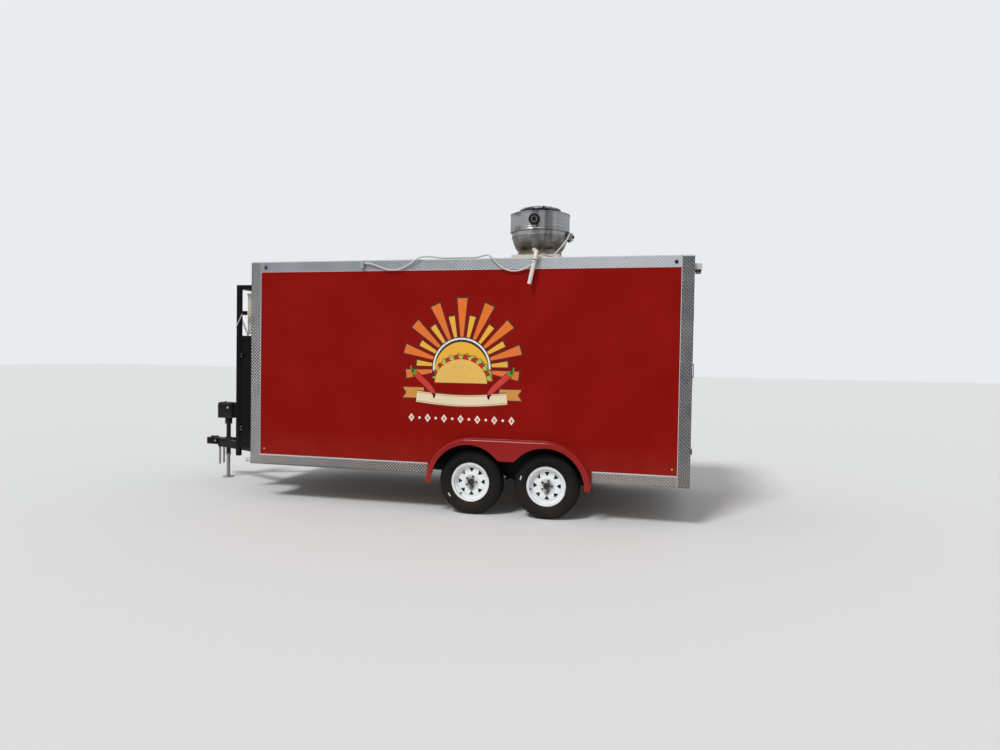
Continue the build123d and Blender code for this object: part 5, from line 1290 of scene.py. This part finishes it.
def wheel_parts(name):
    """A rubber valve with its cap in the rim's slope, a balance weight on its lip and a chalk scuff."""
    centre = np.array(middle(f"tyre_{name}"))
    out = np.array((0.0, -1.0 if "street" in name else 1.0, 0.0))
    angle, body = valve_angles[name], f"wheel_{name}"

    def spot(radius, turn, height):
        """A point at a radius and a turn about the axle, height out from the wheel's middle plane."""
        return centre + radius * np.stack([np.cos(turn), 0 * turn, np.sin(turn)], -1) + height * out

    valve = [(0, -0.002), (0.0085, -0.002), (0.0075, 0.012), (0.0048, 0.017), (0.0048, 0.028),
             (0.006, 0.029), (0.006, 0.041), (0.004, 0.043), (0, 0.043)]
    made_of(f"valve_{name}", [spun(valve, spot(0.172, angle, 0.033), out, 16)], "tyre_rubber", "dark_rubber",
            smooth=True, body=body)
    path = spot(0.2045, np.linspace(angle + 2.6, angle + 2.87, 9), 0.0805)
    made_of(f"balance_weight_{name}", [bent(path, out, flat_section(0.006, 0.008, 0.0015))], "white_steel",
            "screw_steel", body=body)
    if name in scuffs:
        turn, radius = scuffs[name]
        path = spot(radius, np.linspace(turn - 0.08, turn + 0.08, 8), 0.1012)
        made_of(f"sidewall_scuff_{name}", [bent(path, out, flat_section(0.0022, 0.014, 0.0007))],
                "tyre_rubber", "chalk_mark", body=body)


for wheel_name in wheel_names:
    wheel_parts(wheel_name)


# Front cage, locker, condenser, jack, coupler and waste pipe
cage_low, cage_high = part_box("front_cage")
cage_x0, cage_half, shelf_z, cage_tube = cage_low.x, cage_high.y, 1.885, 0.05
jack_x = sum(corner.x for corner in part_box("jack_leg")) / 2


def slot_line(length, width, steps=7):
    """The outline of a slot in the plane of its first two axes: two half circles and two straight sides."""
    angle = np.concatenate([np.linspace(-pi / 2, pi / 2, steps), np.linspace(pi / 2, 3 * pi / 2, steps)])
    shift = np.repeat([1, -1], steps) * (length - width) / 2
    return np.stack([shift + width / 2 * np.cos(angle), width / 2 * np.sin(angle), 0 * angle], -1)


def tie_chain():
    """A short chain of links, turned a quarter each way in turn, from the post's eye to the shelf's eye."""
    start = np.array((cage_x0 + 0.057, -cage_half + 0.012, 2.105))
    end = np.array((cage_x0 + 0.150, -cage_half + 0.012, shelf_z + 0.012))
    link, wire = 0.032, 0.0028
    run = end - start
    count = int(np.linalg.norm(run) / (link - 2.2 * wire))
    along = run / np.linalg.norm(run)
    across = np.cross(along, (0, 1, 0))
    share = (np.arange(count) + 0.5) / count
    places = start + share[:, None] * run
    flat = np.stack([along, across, np.cross(along, across)], -1)
    stood = np.stack([along, np.cross(along, across), -across], -1)
    turns = np.where((np.arange(count) % 2 == 0)[:, None, None], flat, stood)
    shape = bent(slot_line(link, 0.021), (0, 0, 1), round_section(wire, 6), closed=True)
    angle = np.linspace(0, 2 * pi, 17)[:-1]
    eye = 0.011 * np.stack([np.cos(angle), 0 * angle, np.sin(angle)], -1)
    eyes = [bent(at + eye, (0, 1, 0), round_section(0.003, 6), closed=True) for at in (start, end)]
    made_of("locker_tie_chain", [repeat(*shape, places, turns)] + eyes, "zinc_chain",
            "black_steel", smooth=True)


def tie_strap():
    """A webbing strap, pulled tight from the ratchet block over the post's face and round its corner."""
    y = -cage_half - 0.0025
    start, end = np.array((cage_x0 + 0.094, y, 2.184)), np.array((cage_x0 + 0.001, y, 2.006))
    band = flat_section(0.003, 0.013, 0.0008)
    round_post = np.array((cage_x0 - 0.0012, -cage_half, 2.004))
    shapes = [stick(start, end, (0, 1, 0), band),
              stick(round_post + (0, -0.003, 0), round_post + (0, 0.05, -0.014), (1, 0, 0), band)]
    made_of("cage_tie_strap", shapes, "pale_plastic", "webbing")
    block_z = 2.1645
    block = [plate((cage_x0 + 0.078, -cage_half - 0.004, block_z - 0.0245),
                   (cage_x0 + 0.131, -cage_half + 0.03, block_z + 0.0245), 0.004),
             plate((cage_x0 + 0.048, -cage_half + 0.004, block_z - 0.008),
                   (cage_x0 + 0.08, -cage_half + 0.02, block_z + 0.008))]
    made_of("cage_ratchet_block", block, "black_steel", "black_steel")


def cage_welds():
    """Weld beads where the cage's rails meet its posts, as small ropes across each joint."""
    bead, short = round_section(0.0045, 6), 0.004
    near_x, far_x = cage_x0 + cage_tube, cage_x0 + 0.449
    rails = ((0.5175, 0.5675), (shelf_z - cage_tube, shelf_z), (cage_high.z - cage_tube, cage_high.z))
    joints = [(far_x, -cage_half), (near_x, -cage_half)]
    joints += [(x, side * (cage_half - cage_tube)) for x in (cage_x0, near_x) for side in (-1, 1)]
    shapes = [stick((x, y, z0 + short), (x, y, z1 - short), (1, 0, 0), bead) for x, y in joints
              for z0, z1 in rails]
    for x in (near_x, far_x):
        for z in (rails[0][1], *rails[1], rails[2][0]):
            y = -cage_half
            shapes.append(stick((x, y + short, z), (x, y + cage_tube - short, z), (0, 0, 1), bead))
    made_of("cage_welds", shapes, "black_steel", "black_steel", smooth=True)


def locker_fittings():
    """On the locker's door: painted hinge leaves with screws, hasp plates, locks with shackles, and a hem."""
    door_low, door_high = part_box("cage_door")
    face, leaf_face = -cage_half, -cage_half - 0.0125
    shapes, locks, leaves = [], [], []
    for z in (0.7545, 1.648):
        leaves.append(plate((cage_x0 + 0.0605, leaf_face, z - 0.028),
                            (cage_x0 + 0.096, face - 0.0085, z + 0.028)))
        places = lattice((cage_x0 + 0.070, cage_x0 + 0.086), (leaf_face,), (z - 0.018, z + 0.018))
        shapes.append(heads(places, (0, -1, 0), 0.0035, 0.002))
    x, bow_y, bow_half = cage_x0 + 0.406, face - 0.024, 0.0105
    for z in (1.668, 1.408):
        shapes.append(plate((x - 0.0245, face - 0.012, z + 0.001), (x + 0.0245, face - 0.0095, z + 0.039)))
        locks.append(plate((x - 0.018, face - 0.0355, z - 0.0445), (x + 0.018, leaf_face, z + 0.0005), 0.003))
        angle = np.linspace(0, pi, 15)
        bow = np.stack([x + bow_half * np.cos(angle), 0 * angle + bow_y,
                        z + 0.010 + 0.012 * np.sin(angle)], -1)
        bow = np.concatenate([[(x + bow_half, bow_y, z - 0.003)], bow, [(x - bow_half, bow_y, z - 0.003)]])
        shapes.append(bent(bow, (0, 1, 0), round_section(0.0032, 8)))
    made_of("locker_bright_fittings", shapes, "zinc_chain", "bright_steel", body="door_cage")
    made_of("locker_lock_bodies", locks, "zinc_chain", "brass", body="door_cage")
    made_of("locker_hinge_leaves", leaves, "black_steel", "black_plastic", body="door_cage")
    y, rib = face - 0.001, flat_section(0.004, 0.012, 0.001)
    ribs = [stick((cage_x0 + 0.0605, y, z), (cage_x0 + 0.4385, y, z), (0, 1, 0), rib)
            for z in (door_low.z + 0.008, door_high.z - 0.008)]
    ribs += [stick((x, y, door_low.z + 0.012), (x, y, door_high.z - 0.012), (0, 1, 0), rib)
             for x in (cage_x0 + 0.067, cage_x0 + 0.432)]
    made_of("locker_door_hem", ribs, "black_steel", "black_steel", body="door_cage")


def condenser_parts():
    """Wire rings over the condenser's grille, its three-bladed fan, louvres on its side and its screws.

    A blade's point at radius r and share s of its chord lies at angle a + 0.57 s (0.7 + r), and
    0.05 + 0.045 s + 0.008 sin(pi s) behind the grille.
    """
    low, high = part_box("condenser_unit")
    x0, y0 = low.x, low.y
    centre = np.array((x0, y0 + 0.3, (low.z + 0.02 + high.z) / 2))
    turn = np.linspace(0, 2 * pi, 65)[:-1]
    way = np.stack([0 * turn, np.cos(turn), np.sin(turn)], -1)
    rings = [bent(centre + (0.0012, 0, 0) + r * way, (1, 0, 0), round_section(0.0013, 5), closed=True)
             for r in np.arange(0.03, 0.205, 0.0125)]
    made_of("condenser_wires", rings, "cream_steel", "cream_steel", smooth=True)
    radius, chord = np.meshgrid(np.linspace(0.03, 0.175, 12), np.linspace(0, 1, 9), indexing="ij")
    blades = []
    depth, blade_thickness = 0.05 + 0.045 * chord + 0.008 * np.sin(pi * chord), 0.0022
    for start in (0.2, 0.2 + 2 * pi / 3, 0.2 + 4 * pi / 3):
        angle = start + 1.7 * chord / 3 * (0.7 + radius)
        near, far = (np.stack([centre[0] + depth + shift, centre[1] + radius * np.cos(angle),
                               centre[2] + radius * np.sin(angle)], -1) for shift in (0.0, blade_thickness))
        blades.append(closed_tube(np.concatenate([near, far[:, ::-1]], axis=1)))
    hub = spun([(0, 0.03), (0.03, 0.034), (0.036, 0.044), (0.036, 0.1), (0, 0.1)], centre, (1, 0, 0), 32)
    made_of("condenser_fan", blades + [hub], "grey_plastic", "black_plastic", smooth=True)
    slots = [plate((x0 + 0.05, y0 - 0.0025, z), (x0 + 0.25, y0 + 0.001, z + 0.007))
             for z in np.arange(low.z + 0.10, high.z - 0.08, 0.022)]
    z0, z1 = high.z - 0.024, high.z - 0.001
    lip = [plate((x0 + 0.004, y0 - 0.003, z0), (x0 + 0.298, y0 + 0.002, z1)),
           plate((x0 - 0.003, y0 + 0.004, z0), (x0 + 0.002, y0 + 0.786, z1))]
    screws = heads(lattice((x0 + 0.02, x0 + 0.15, x0 + 0.28), (y0 - 0.003,), (high.z - 0.013,)), (0, -1, 0),
                   0.004, 0.003)
    made_of("condenser_louvres", slots + lip + [screws], "cream_steel", "cream_steel")


def hexagon(radius, height):
    """A six-sided bolt head on the plane of its first two axes, set 1 mm into it."""
    return spun([(0, -0.001), (radius, -0.001), (radius, height), (0, height)], (0, 0, 0), (0, 0, 1), 6)


def jack_parts():
    """The power head's seam, crank plug, lamp, switches with boots, and bolts on the jack's plate.

    The seam's path is four quarter circles about the head's corners, 1 mm proud of them.
    """
    low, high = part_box("jack_housing")
    x0, x1, y0, y1, up = low.x, low.x + 0.24, -0.07, 0.07, (0, 0, 1)
    mid_x, seam_z = (x0 + x1) / 2, high.z - 0.105
    corner = 0.045
    seam_radius = corner + 0.001
    seam = []
    for turn, x, y in ((0, x1 - corner, y1 - corner), (1, x0 + corner, y1 - corner),
                       (2, x0 + corner, y0 + corner), (3, x1 - corner, y0 + corner)):
        a = np.linspace(0, pi / 2, 8) + turn * pi / 2
        seam.append(np.stack([x + seam_radius * np.cos(a), y + seam_radius * np.sin(a), 0 * a + seam_z], -1))
    seam = np.concatenate(seam)
    plug = [(0, -0.004), (0.024, -0.004), (0.024, 0.004), (0.018, 0.008), (0, 0.009)]
    boot = [(0, -0.003), (0.012, -0.003), (0.012, 0.003), (0.006, 0.007), (0.0045, 0.016), (0, 0.017)]
    screws = lattice((x0 + 0.06, x1 - 0.06), (y0,), (seam_z - 0.03, seam_z + 0.04))
    shapes = [bent(seam, up, flat_section(0.008, 0.004, 0.001), closed=True),
              bent(seam + (0, 0, -0.098), up, flat_section(0.012, 0.003, 0.001), closed=True),
              spun(plug, (mid_x - 0.03, 0, high.z - 0.001), up, 24)]
    shapes += [spun(boot, (x0 + 0.0005, y, high.z - 0.07), (-1, 0, 0), 18) for y in (-0.022, 0.022)]
    shapes.append(heads(screws, (0, -1, 0), 0.006, 0.004))
    made_of("jack_head_trim", shapes, "grey_plastic", "dark_rubber", smooth=True)
    lens = [(0, -0.003), (0.014, -0.003), (0.014, 0.002), (0.010, 0.005), (0, 0.006)]
    made_of("jack_lamp", [spun(lens, (mid_x + 0.05, y0, seam_z + 0.035), (0, -1, 0), 24)], "lamp_plastic",
            "clear_lens", smooth=True)
    bolts = lattice((jack_x - 0.052, jack_x + 0.052), (-0.052, 0.052), (0.525,))
    bolts = repeat(*hexagon(0.0095, 0.008), bolts, np.broadcast_to(np.eye(3), (len(bolts), 3, 3)))
    neck = [(0.0288, 0.0), (0.0335, 0.002), (0.0335, 0.018), (0.0288, 0.02)]
    made_of("jack_bolts", [bolts, spun(neck, (jack_x, 0, 0.302), up, 32)], "zinc_chain", "zinc_chain")


def coupler_parts():
    """Bolts through the coupler's neck and a hand grip on its lever."""
    low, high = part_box("coupler")
    places = np.array([(high.x - 0.06 - 0.03, side * 0.0570, 0.49) for side in (-1, 1)])
    turns = np.stack([np.array([(1, 0, 0), (0, 0, -side), (0, side, 0)], float).T for side in (-1, 1)])
    bolts = repeat(*hexagon(0.0125, 0.009), places, turns)
    made_of("coupler_bolts", [bolts], "zinc_chain", "screw_steel")
    grip_z = bottom_z + 0.126
    grip = stick((low.x + 0.104, 0, grip_z), (low.x + 0.17, 0, grip_z), (0, 0, 1),
                 flat_section(0.0165, 0.0245, 0.004))
    made_of("coupler_lever_grip", [grip], "tyre_rubber", "dark_rubber")


def waste_pipe():
    """A white drain stub with a cap, level and square to the front rail, under the front corner."""
    y, z = -1.12, 0.4375
    stub = [(0.0175, 0.0), (0.0175, 0.105), (0.021, 0.105), (0.021, 0.012), (0.0245, 0.012), (0.0245, 0.0)]
    cap = [(0, 0.094), (0.0245, 0.094), (0.0245, 0.128), (0.021, 0.133), (0, 0.133)]
    made_of("waste_pipe_stub", [spun(stub, (front_x + 0.0005, y, z), (-1, 0, 0), 32),
                                spun(cap, (front_x, y, z), (-1, 0, 0), 32)], "pale_plastic",
            "white_plastic", smooth=True)


tie_chain()
tie_strap()
cage_welds()
locker_fittings()
condenser_parts()
jack_parts()
coupler_parts()
waste_pipe()


# Lamps' rubber rings, and the trim of the rear door, the hatch and the shelf
door_y0, door_y1, door_z0, door_z1 = -0.708, 0.108, 0.566, 2.466
door_hinge_rises, slit = (0.18, 0.91, 1.6), 0.0045
hatch_low, hatch_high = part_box("serving_frame")
hatch_x0, hatch_x1 = hatch_low.x + 0.045, hatch_high.x - 0.045
sill_z, head_z = 1.450, 2.400
hinge_xs = (hatch_x0 + 0.2, (hatch_x0 + hatch_x1) / 2 - 0.05, hatch_x1 - 0.3)


def lamp_rings():
    """A rubber ring round each marker lamp and a stadium of rubber round each tail and rail lamp."""
    shapes = []
    for side in (-1, 1):
        for x in (front_x + 0.177, rear_x - 0.171):
            for z, radius, base in ((top_z - 0.062, 0.013, trim), (bottom_z + 0.180, 0.009, 0.0)):
                ring = [(radius + 0.0003, -0.001), (radius + 0.0003, 0.004), (radius + 0.0022, 0.0052),
                        (radius + 0.0055, 0.002), (radius + 0.006, -0.001)]
                shapes.append(spun(ring, (x, side * (side_y + base), z), (0, side, 0), 20))
    rubber = flat_section(0.007, 0.007, 0.0018)
    lamps = [(y, 0.760, 0.165, 0.058, 0.0) for y in (0.210 - side_y, side_y - 0.210)]
    lamps += [(y, top_z - 0.06, 0.07, 0.026, trim) for y in (-0.15, 0.0, 0.15)]
    for y, z, length, width, base in lamps:
        line = slot_line(length + 0.0075, width + 0.0075)
        path = np.stack([np.full(len(line), rear_x + base + 0.003), y + line[:, 0], z + line[:, 1]], -1)
        shapes.append(bent(path, (1, 0, 0), rubber, closed=True))
    made_of("lamp_rings", shapes, "grey_plastic", "dark_rubber", smooth=True)


def frame_bars(axis, low, high, out0, out1, width):
    """Four flat bars outside a rectangle given by two corners: two upright, and two level between them.

    Axis 0 lays the rectangle across X as (y, z); axis 1 lays it across Y as (x, z).
    """
    (a0, b0), (a1, b1) = low, high
    spans = [((a0 - width, b0 - width), (a0, b1 + width)), ((a1, b0 - width), (a1 + width, b1 + width)),
             ((a0 - 0.001, b1), (a1 + 0.001, b1 + width)), ((a0 - 0.001, b0 - width), (a1 + 0.001, b0))]
    bars = []
    for first, second in spans:
        corners = [np.insert(np.array(point), axis, out) for point, out in ((first, out0), (second, out1))]
        bars.append(plate(*corners, 0.0008))
    return bars


def door_trim():
    """The door's aluminium surround, its gasket, all their screws, and a lock cylinder with a keyway."""
    gap = 0.007
    frame_low, frame_high = (door_y0 - gap, door_z0 - gap), (door_y1 + gap, door_z1 + gap)
    made_of("rear_door_frame", frame_bars(0, frame_low, frame_high, rear_x - 0.001, rear_x + 0.0025, 0.0275),
            "tread_plate", "edge_aluminium")
    inner_low, inner_high = (door_y0 - slit, door_z0 - slit), (door_y1 + slit, door_z1 + slit)
    made_of("rear_door_gasket", frame_bars(0, inner_low, inner_high, rear_x - 0.036, rear_x - 0.002, 0.0025),
            "grey_plastic", "dark_rubber")
    out, inset, screw_z = (1, 0, 0), gap + 0.014, door_z0 + np.arange(0.1, 1.9, 0.2)
    sides = lattice((rear_x + 0.0025,), (door_y0 - inset, door_y1 + inset), screw_z)
    to_hinge = np.abs(sides[:, 2:] - (door_z0 + np.array(door_hinge_rises))).min(1)
    sides = sides[(to_hinge > 0.08) | (sides[:, 1] > 0)]
    ends = lattice((rear_x + 0.0025,), np.linspace(door_y0 + 0.1, door_y1 - 0.1, 4),
                   (door_z0 - inset, door_z1 + inset))
    made_of("rear_door_frame_screws", [heads(row, out, 0.0045, 0.003) for row in (sides, ends)],
            "tread_plate", "screw_steel", smooth=True)
    leaf_screws = lattice((rear_x + 0.011,), (door_y0 + 0.020, door_y0 + 0.042),
                          [door_z0 + rise + step for rise in door_hinge_rises
                           for step in (-0.027, 0.0, 0.027)])
    lock = [(0, -0.001), (0.017, -0.001), (0.017, 0.003), (0.0145, 0.0055), (0.0095, 0.0055),
            (0.0095, 0.0085), (0, 0.0085)]
    lock_y, lock_z = door_y1 - 0.075, 1.42
    keyway = plate((rear_x + 0.0084, lock_y - 0.0012, lock_z - 0.0065),
                   (rear_x + 0.0092, lock_y + 0.0012, lock_z + 0.0065), 0.0003)
    handle_screws = lattice((rear_x + 0.008,), (lock_y - 0.016, lock_y + 0.016), (1.476, 1.636))
    made_of("rear_door_screws", [heads(leaf_screws, out, 0.0045, 0.0028),
                                 heads(handle_screws, out, 0.004, 0.0025)],
            "red_panel", "screw_steel", smooth=True, body="door_rear")
    made_of("rear_door_lock", [spun(lock, (rear_x, lock_y, lock_z), out, 28)], "red_panel",
            "bright_steel", smooth=True, body="door_rear")
    made_of("rear_door_keyway", [keyway], "red_panel", "black_plastic", body="door_rear")


def hatch_trim():
    """The hatch's gasket, inner ribs, screws in its frame and leaves, and a handle on each latch pad."""
    face, latch_y, out = side_y + 0.004, side_y + 0.012, (0, 1, 0)
    gasket = frame_bars(1, (hatch_x0 - slit, sill_z - slit), (hatch_x1 + slit, head_z + slit),
                        side_y - 0.038, side_y - 0.002, 0.0025)
    made_of("hatch_gasket", gasket, "grey_plastic", "dark_rubber")
    xs = np.linspace(hatch_x0 - 0.026, hatch_x1 + 0.026, 12)
    keep = np.abs(xs[:, None] - (np.array(hinge_xs) + 0.05)).min(1) > 0.09
    rows = [lattice(xs, (face,), (sill_z - 0.026,)), lattice(xs[keep], (face,), (head_z + 0.026,)),
            lattice((xs[0], xs[-1]), (face,), np.linspace(sill_z + 0.13, head_z - 0.13, 5))]
    made_of("hatch_frame_screws", [heads(row, out, 0.0048, 0.003) for row in rows], "tread_plate",
            "screw_steel", smooth=True)
    leaf = lattice([x + step for x in hinge_xs for step in (0.015, 0.05, 0.085)], (side_y + 0.014,),
                   (head_z - 0.043, head_z - 0.020))
    knob = [(0, -0.001), (0.017, -0.001), (0.017, 0.004), (0.011, 0.006), (0.009, 0.017), (0, 0.017)]
    latches = []
    for x in (hatch_x0 + 0.26, hatch_x1 - 0.26):
        screws = lattice((x - 0.022, x + 0.022), (latch_y,), (sill_z + 0.050, sill_z + 0.100))
        latches += [spun(knob, (x, latch_y, sill_z + 0.082), out, 24),
                    plate((x - 0.037, side_y + 0.026, sill_z + 0.0735),
                          (x + 0.037, side_y + 0.034, sill_z + 0.0905), 0.003),
                    heads(screws, out, 0.004, 0.0025)]
    made_of("hatch_latches", latches + [heads(leaf, out, 0.0045, 0.0028)], "red_panel", "bright_steel",
            body="hatch")
    y0, y1, margin = side_y - 0.0445, side_y - 0.0415, 0.03
    ribs = [plate((x - 0.02, y0, sill_z + margin), (x + 0.02, y1, head_z - margin), 0.001)
            for x in np.linspace(hatch_x0 + margin, hatch_x1 - margin, 4)]
    made_of("hatch_inner_ribs", ribs, "red_panel", "edge_aluminium", body="hatch")


def shelf_trim():
    """A rolled hem down the folding shelf's ends and along its lower edge, with round corners."""
    x0, x1, z0, z1 = hatch_x0 + 0.06, hatch_x1 - 0.06, 1.09, 1.376
    corner = 0.03
    turn = np.linspace(0, pi / 2, 8)
    right = np.stack([x1 - corner + corner * np.cos(-turn), z0 + corner + corner * np.sin(-turn)], -1)
    left = np.stack([x0 + corner - corner * np.sin(turn), z0 + corner - corner * np.cos(turn)], -1)
    line = np.concatenate([[(x1, z1)], right, left, [(x0, z1)]])
    y = side_y + 0.034 - 0.0022
    path = np.stack([line[:, 0], np.full(len(line), y), line[:, 1]], -1)
    board_middle = np.array(((x0 + x1) / 2, y, 1.3))
    path = board_middle + (path - board_middle) * (0.9965, 1, 0.985)
    made_of("shelf_hem", [bent(path, (0, 1, 0), flat_section(0.005, 0.008, 0.001))], "stainless", "stainless",
            body="shelf")


lamp_rings()
door_trim()
hatch_trim()
shelf_trim()


# Inside: seams of the wall lining, hood filters, the griddle's front and the sink's tap
inner_x0, inner_x1 = front_x + wall_thickness, rear_x - wall_thickness
inner_y = side_y - wall_thickness
ceiling_z, floor_top = 2.672, 0.536


def lining_seams():
    """Cover strips over the joints of the white wall lining, in the corners and along floor and ceiling."""
    strip, half_strip, cut, shapes = 0.0016, 0.019, 0.0005, []
    wheels_x0, wheels_x1, wheels_top = 0.42, 2.135, 0.81
    joints = {-1: (front_x + 1.25, front_x + 2.5, front_x + 3.72), 1: (hatch_x0 - 0.3, hatch_x1 + 0.3)}
    for side in (-1, 1):
        y0, y1 = sorted((side * inner_y, side * (inner_y - strip)))
        for x in joints[side]:
            z0 = wheels_top if wheels_x0 < x < wheels_x1 else floor_top + 0.002
            shapes.append(plate((x - half_strip, y0, z0), (x + half_strip, y1, ceiling_z - 0.001), cut))
        for x0, x1 in ((inner_x0 + 0.002, wheels_x0), (wheels_x1, inner_x1 - 0.002)):
            shapes.append(plate((x0, y0, floor_top), (x1, y1, floor_top + 0.06), cut))
        shapes.append(plate((inner_x0 + 0.002, y0, ceiling_z - 0.035), (inner_x1 - 0.002, y1, ceiling_z),
                            cut))
        for x, run in ((inner_x0, 1), (inner_x1, -1)):
            x0, x1 = sorted((x, x + run * strip))
            a, b = sorted((side * inner_y, side * (inner_y - 0.03)))
            shapes.append(plate((x0, a, floor_top), (x1, b, ceiling_z), cut))
    for y in (-0.85, 0.0, 0.85):
        lap = [(inner_x0, inner_x1)] if y > -0.5 else [(inner_x0, 1.2), (1.7, inner_x1)]
        shapes += [plate((a, y - half_strip, ceiling_z - strip), (b, y + half_strip, ceiling_z), cut)
                   for a, b in lap]
    made_of("lining_seams", shapes, "pale_plastic", "white_plastic")


def hood_filters():
    """Four baffle filters that lean against the hood's back, each a frame with eight upright baffles."""
    low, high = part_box("exhaust_hood")
    width = (high.x - low.x - 0.1) / 4
    baffle, rail = flat_section(0.03, 0.006, 0.001), flat_section(0.012, 0.022, 0.001)
    foot, head = np.array((0.0, low.y + 0.34, low.z + 0.06)), np.array((0.0, low.y + 0.04, low.z + 0.33))
    shapes = []
    for i in range(4):
        x0 = low.x + 0.05 + i * width
        for x in np.linspace(x0 + 0.012, x0 + width - 0.012, 8):
            shapes.append(stick(foot + (x, 0, 0), head + (x, 0, 0), (1, 0, 0), baffle))
        for end in (foot, head):
            shapes.append(stick(end + (x0 + 0.004, 0, 0), end + (x0 + width - 0.004, 0, 0), (0, 0.68, 0.74),
                                rail))
    made_of("hood_filters", shapes, "stainless", "stainless")


def griddle_parts():
    """Knobs and their dials on the griddle's front, the drip tray's front and its pull."""
    x0, x1, y, z = fan_x - 0.5, fan_x + 0.25, -0.275, 1.416
    dial = [(0, -0.001), (0.027, -0.001), (0.027, 0.002), (0.0205, 0.0035), (0.019, 0.024),
            (0.016, 0.027), (0, 0.027)]
    places = [(x, y, z + 0.065) for x in np.linspace(x0 + 0.11, x1 - 0.11, 4)]
    knobs = [spun(dial, place, (0, 1, 0), 28) for place in places]
    made_of("griddle_knobs", knobs, "grey_plastic", "black_plastic", smooth=True)
    marks = [plate((knob_x - 0.0015, y + 0.0265, knob_z), (knob_x + 0.0015, y + 0.0285, knob_z + 0.017),
                   0.0004) for knob_x, _, knob_z in places]
    mid_x = (x0 + x1) / 2
    tray = [plate((x0 + 0.02, y - 0.002, z + 0.008), (x1 - 0.02, y + 0.004, z + 0.028)),
            plate((mid_x - 0.06, y + 0.003, z + 0.012), (mid_x + 0.06, y + 0.018, z + 0.017)),
            plate((x0 + 0.01, y - 0.002, z + 0.105), (x1 - 0.01, y + 0.003, z + 0.118))]
    made_of("griddle_front_trim", marks + tray, "stainless", "bright_steel")


def sink_tap():
    """A tap behind the basin: base, upright with a bent spout, and two lever handles."""
    x, y, z = hatch_x0 + 0.21, 0.899, 1.42
    base = [(0, -0.001), (0.026, -0.001), (0.026, 0.006), (0.017, 0.012), (0.013, 0.05), (0, 0.05)]
    angle = np.linspace(0, pi, 24)
    path = np.concatenate([[(x, y, z + 0.04), (x, y, z + 0.10), (x, y, z + 0.16)],
                           np.stack([0 * angle + x, y - 0.07 + 0.07 * np.cos(angle),
                                     z + 0.20 + 0.07 * np.sin(angle)], -1), [(x, y - 0.14, z + 0.17)]])
    shapes = [spun(base, (x, y, z), (0, 0, 1), 28), bent(path, (1, 0, 0), round_section(0.0095, 16))]
    valve = [(0, -0.001), (0.02, -0.001), (0.02, 0.004), (0.012, 0.03), (0, 0.032)]
    for side in (-1, 1):
        at = x + side * 0.09
        shapes.append(spun(valve, (at, y, z), (0, 0, 1), 24))
        shapes.append(stick((at, y, z + 0.028), (x + side * 0.135, y - 0.012, z + 0.036), (0, 0, 1),
                            flat_section(0.007, 0.012, 0.002)))
    made_of("sink_tap", shapes, "stainless", "bright_steel", smooth=True)


lining_seams()
hood_filters()
griddle_parts()
sink_tap()


# Light, floor and camera
def floor():
    """A large pale floor under the wheels."""
    reach = 60.0
    points, faces = bar((-reach, -reach, -0.02), (reach, reach, 0.0))
    mesh = bpy.data.meshes.new("studio_floor")
    mesh.from_pydata(points, [], faces)
    f = Finish("floor_paint", Roughness=0.9)
    path = f.add("LightPath")
    seen = f.math("MAXIMUM", path.outputs["Is Glossy Ray"], path.outputs["Is Transmission Ray"])
    f.paint(f.mix(seen, (0.78, 0.78, 0.77), (0.6, 0.6, 0.6)))
    mesh.materials.append(f.material)
    made = bpy.data.objects.new("studio_floor", mesh)
    bpy.context.scene.collection.objects.link(made)


def world():
    """An even pale sky, brighter where the camera and reflections see it than where it only lights."""
    scene_world = bpy.data.worlds.new("studio_sky")
    bpy.context.scene.world = scene_world
    scene_world.use_nodes = True
    n = Nodes(scene_world.node_tree)
    back = scene_world.node_tree.nodes["Background"]
    path = n.add("LightPath")
    seen = n.math("MAXIMUM", path.outputs["Is Camera Ray"],
                  n.math("MAXIMUM", path.outputs["Is Glossy Ray"], path.outputs["Is Transmission Ray"]))
    n.put(back.inputs["Color"], (0.86, 0.88, 0.91))
    n.put(back.inputs["Strength"], n.ramp(seen, 0.0, 1.0, 0.55, 0.95))


def sun(direction, strength, spread):
    """One wide soft sun from a direction, its spread in degrees."""
    light = bpy.data.lights.new("soft_sun", "SUN")
    light.energy, light.angle = strength, radians(spread)
    made = bpy.data.objects.new("soft_sun", light)
    made.rotation_euler = Vector(direction).to_track_quat("Z", "Y").to_euler()
    bpy.context.scene.collection.objects.link(made)


def camera(place, yaw, pitch, roll, lens):
    """A camera turned left by yaw, down by pitch and about its own axis by roll, in radians."""
    data = bpy.data.cameras.new("camera")
    data.lens, data.sensor_width = lens, 36.0
    data.clip_end = 500.0
    made = bpy.data.objects.new("camera", data)
    bpy.context.scene.collection.objects.link(made)
    turn = (Matrix.Rotation(yaw, 4, "Z") @ Matrix.Rotation(pi / 2 - pitch, 4, "X")
            @ Matrix.Rotation(roll, 4, "Z"))
    made.matrix_world = Matrix.Translation(place) @ turn
    bpy.context.scene.camera = made


floor()
world()
sun(direction=(-0.25, -0.62, 0.74), strength=1.9, spread=14.0)
camera(place=(2.9841, -8.5493, 1.7043), yaw=0.2414, pitch=0.02783, roll=0.01641, lens=25.941)
bpy.context.scene.view_settings.view_transform = "Standard"
